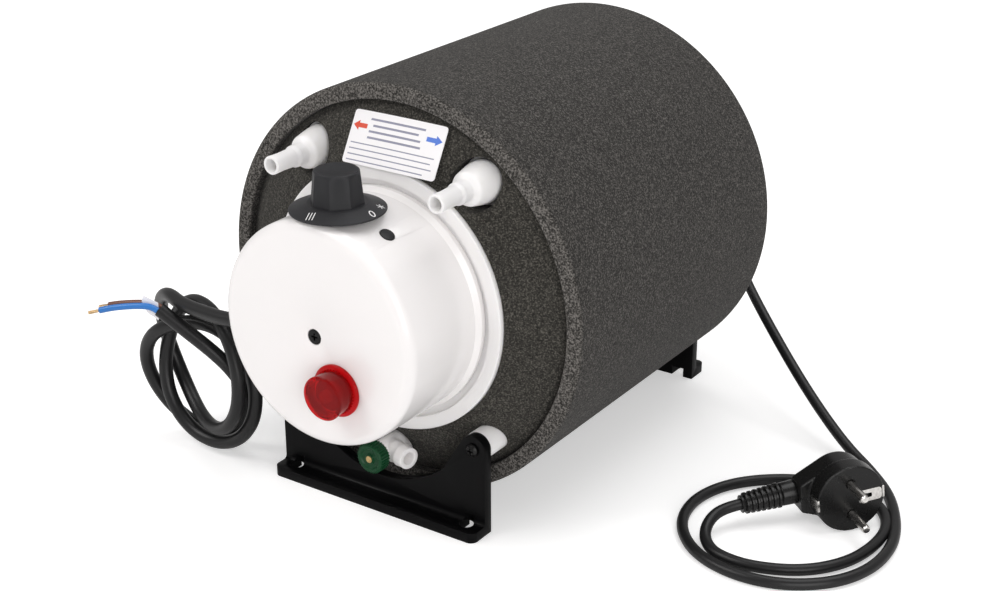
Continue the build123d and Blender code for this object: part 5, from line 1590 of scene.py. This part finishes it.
@dataclass
class MainsLead:
    """The mains cable on the floor and its angled plug."""

    radius: float = 3.25
    gland: float = -29.7
    start_run: float = 16.0
    end_run: float = 9.88
    boot_z: float = -22.0
    boot_start: float = 25.0
    boot_end: float = 57.0
    boot_ribs: int = 7
    boot_root: float = 9.0
    rib_deep: float = 1.5
    pin_r: float = 2.35
    pin_half: float = 9.5
    pin_root: float = 8.8
    pin_length: float = 19.0
    earth_x: float = -10.0
    earth_hole: float = 2.5
    blend: float = 0.55

    def route(self) -> list[Vector]:
        """The cable's way from its gland down to the floor, in loops on it and into the plug.

        Returns:
            Control points in metres.
        """
        lay = self.radius
        middle = (
            (104.0, 142.0, 64.0), (128.0, 124.0, 50.0), (153.0, 107.0, 35.0),
            (178.0, 92.0, 20.5), (202.0, 79.0, 8.5), (224.0, 66.5, lay), (243.5, 46.0, lay),
            (258.0, 20.0, lay), (266.5, -6.0, lay), (266.0, -34.0, lay), (255.0, -58.0, lay),
            (233.0, -75.5, lay), (206.0, -80.5, lay), (178.5, -72.5, lay), (158.0, -50.5, lay),
            (151.5, -24.0, lay), (157.0, 1.0, lay), (172.0, 21.0, lay), (194.0, 36.0, lay),
            (220.0, 41.5, lay), (243.0, 33.0, lay), (256.5, 13.0, lay), (258.0, -12.0, lay),
            (252.0, -36.5, lay), (236.0, -57.0, lay), (211.22, -68.28, lay),
            (191.42, -67.7, 3.26), (181.49, -62.1, 4.03), (175.43, -53.57, 5.95),
            (173.81, -43.47, 9.09))
        mouth, way = gland_mouth(self.gland, -FITTING_REACH)
        finish = PLUG @ Vector((self.boot_end, 0, self.boot_z)) / MM
        back = (PLUG @ Vector((self.boot_end + 10, 0, self.boot_z)) / MM - finish).normalized()
        points = [mouth, mouth + way * self.start_run] + [Vector(p) for p in middle]
        points += [finish + back * self.end_run, finish]
        return [p * MM for p in points]

    def plug_body(self) -> None:
        """The plug's body, its edges and joins blended like a soft moulding."""
        copy = add("plug copy", frame["nodes"]["plug_body"].data.copy())
        add_weld(copy)
        blend = copy.modifiers.new("blend", "REMESH")
        blend.mode = "VOXEL"
        blend.voxel_size = self.blend * MM
        ease = copy.modifiers.new("ease", "SMOOTH")
        ease.factor, ease.iterations = 0.5, 7
        mesh = as_it_looks(copy)
        bpy.data.objects.remove(copy)
        mesh.shade_smooth()
        mesh.name = "plug_moulding"
        settle(add("plug_moulding", mesh), "plug_plastic", "plug_body", slot="black_plastic")

    def boot(self) -> None:
        """The ribbed strain relief."""
        low, high = self.boot_start, self.boot_end
        turn = PLUG.to_3x3()
        axis = basis(PLUG @ Vector((0, 0, self.boot_z)), turn @ Vector((0, 1, 0)),
                     turn @ Vector((1, 0, 0)))
        corners: Points = [(0.0, low), (6.9, low), (6.6, low + self.boot_root - 1)]
        radii = [0.0, 0.3, 1.0]
        pitch = (high - low - self.boot_root - 1) / self.boot_ribs
        for k in range(self.boot_ribs):
            start = low + self.boot_root + pitch * k
            outer = 7.2 - 1.1 * k / (self.boot_ribs - 1)
            inner = outer - self.rib_deep
            corners += [(inner, start), (outer, start + 0.25), (outer, start + pitch * 0.6),
                        (inner, start + pitch * 0.62)]
            radii += [0.2, 0.35, 0.35, 0.2]
        corners += [(5.2, high - 0.2), (4.9, high), (0.0, high)]
        radii += [0.4, 0.2, 0.0]
        boot = lathe("plug_strain_relief", rounded(corners, radii, 3, closed=False), axis, 64,
                     closed=False)
        settle(boot, "plug_plastic", "plug_boot", slot="black_plastic")

    def pins(self) -> Piece:
        """The two pins with their rounded ends.

        Returns:
            The pins.
        """
        profile = rounded(box(0.0, -self.pin_root, self.pin_r, self.pin_length), [0, 0.2, 2.0, 0],
                          8, closed=False)
        return join("plug_pins_turned", [
            lathe("pin", profile, PLUG @ Matrix.Translation((0, side * self.pin_half, 0)), 32,
                  closed=False)
            for side in (-1, 1)])

    def earth_plate(self) -> Piece:
        """The earth contact that shows in the plug's face round its hole.

        Returns:
            The plate.
        """
        outline = rounded(box(-8.4, -3.7, 5.2, 3.7), [2.4, 0.4, 0.4, 2.4], 6)
        turns = [math.atan2(y, x) for x, y in outline]
        hole = [(self.earth_hole * math.cos(a), self.earth_hole * math.sin(a)) for a in turns]
        place = PLUG @ Matrix.Translation((self.earth_x, 0, 0))
        bm = bmesh.new()
        stretch(bm, [loop_at(bm, place, edge, height) for edge, height in
                     ((outline, -0.2), (outline, 0.15), (hole, 0.15), (hole, -2.5))], closed=True)
        return as_object("earth_contact", bm, 30)

    def build(self) -> None:
        """Make the cable and its plug."""
        route = self.route()
        cable = cord_line("mains_lead", route, self.radius)
        settle(cable, "black_rubber", "mains_cable")
        self.plug_body()
        self.boot()
        plate = settle(self.earth_plate(), "nickel")
        pins = settle(self.pins(), "nickel", "plug_pins")
        dress("nickel", 0.15, "plug_earth_clips")
        line_length(route)


@dataclass
class Studio:
    """Camera at the photograph's angle, pale floor and plain soft light, places in metres."""

    place: Place = (0.5434, -0.8009, 0.4983)
    right: Place = (0.829, 0.560, 0.0)
    back: Place = (0.515, -0.763, 0.391)
    lens: float = 61.95
    half_floor: float = 6.0
    floor_glow: float = 0.42
    sky: float = 0.42

    def camera(self) -> None:
        """Create the camera."""
        data = bpy.data.cameras.new("camera")
        data.lens, data.sensor_width = self.lens, 36.0
        data.clip_start, data.clip_end = 0.02, 50.0
        obj = add("camera", data)
        back = Vector(self.back).normalized()
        right = Vector(self.right)
        right = (right - back * right.dot(back)).normalized()
        obj.matrix_world = Matrix((right, back.cross(right), back)).transposed().to_4x4()
        obj.location = self.place
        bpy.context.scene.camera = obj

    def seen(self, tree: bpy.types.NodeTree) -> Socket:
        """A socket that is one for rays that leave the camera."""
        return tree.nodes.new("ShaderNodeLightPath").outputs["Is Camera Ray"]

    def surroundings(self) -> None:
        """White behind the object, softer as a light."""
        bpy.context.scene.world = bpy.data.worlds.new("studio")
        bpy.context.scene.world.use_nodes = True
        tree = bpy.context.scene.world.node_tree
        tree.nodes.clear()
        out = tree.nodes.new("ShaderNodeOutputWorld")
        mix = tree.nodes.new("ShaderNodeMixShader")
        soft = tree.nodes.new("ShaderNodeBackground")
        white = tree.nodes.new("ShaderNodeBackground")
        soft.inputs["Color"].default_value = (1.0, 0.985, 0.98, 1)
        soft.inputs["Strength"].default_value = self.sky
        white.inputs["Strength"].default_value = 1.0
        tree.links.new(self.seen(tree), mix.inputs["Fac"])
        tree.links.new(soft.outputs[0], mix.inputs[1])
        tree.links.new(white.outputs[0], mix.inputs[2])
        tree.links.new(mix.outputs[0], out.inputs["Surface"])

    def floor(self) -> None:
        """A wide pale floor that looks white where nothing shades it."""
        half = self.half_floor
        mesh = bpy.data.meshes.new("floor")
        mesh.from_pydata([(x, y, 0) for x, y in box(-half, -half, half, half)], [],
                         [(0, 1, 2, 3)])
        shade = Shade("pale floor")
        shade.set(Base_Color=(0.86, 0.86, 0.86, 1), Roughness=0.7, Emission_Color=(1, 1, 1, 1))
        lift = shade.node("Math", operation="MULTIPLY")
        lift.inputs[1].default_value = self.floor_glow
        shade.link(self.seen(shade.tree), lift.inputs[0])
        shade.link(lift.outputs[0], shade.shader.inputs["Emission Strength"])
        mesh.materials.append(shade.material)
        add("floor", mesh)

    def lamp(self, name: str, place: Place, aim: Place, size: float, power: float,
             tint: Colour = (1, 1, 1)) -> None:
        """A square soft lamp.

        Args:
            name: its name.
            place: where it stands.
            aim: what it faces.
            size: its width in metres.
            power: its power in watts.
            tint: its colour.
        """
        data = bpy.data.lights.new(name, "AREA")
        data.shape = "SQUARE"
        data.size, data.energy, data.color = size, power, tint
        obj = add(name, data)
        obj.location = place
        way = Vector(aim) - Vector(place)
        obj.rotation_euler = way.to_track_quat("-Z", "Y").to_euler()

    def build(self) -> None:
        """Camera, world, floor and lamps."""
        self.camera()
        self.surroundings()
        self.floor()
        self.lamp("key", (-1.2, -1.3, 1.8), (0, 0, 0.12), 1.3, 24, (1.0, 0.985, 0.975))
        self.lamp("fill", (1.7, -1.35, 0.75), (0, -0.05, 0.12), 1.5, 22, (1.0, 0.985, 0.98))
        self.lamp("top", (0.3, 0.6, 2.1), (0, 0, 0.15), 1.5, 18)
        bpy.context.scene.view_settings.view_transform = "Standard"


def main() -> None:
    """Build the studio, the cords and each sub-assembly in order."""
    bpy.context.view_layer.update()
    for part in (Studio(), LowVoltageCable(), MainsLead(), Insulation(), Tank(),
                 Nozzle("hot_water_nozzle", -55.0), Nozzle("cold_water_nozzle", 55.0),
                 DrainValve(), Covers(), Dial(), Lamp(), Label()):
        part.build()
        log.info("built %s", type(part).__name__)


if __name__ == "__main__":
    logging.basicConfig(level=logging.INFO, format="%(name)s %(message)s")
    main()
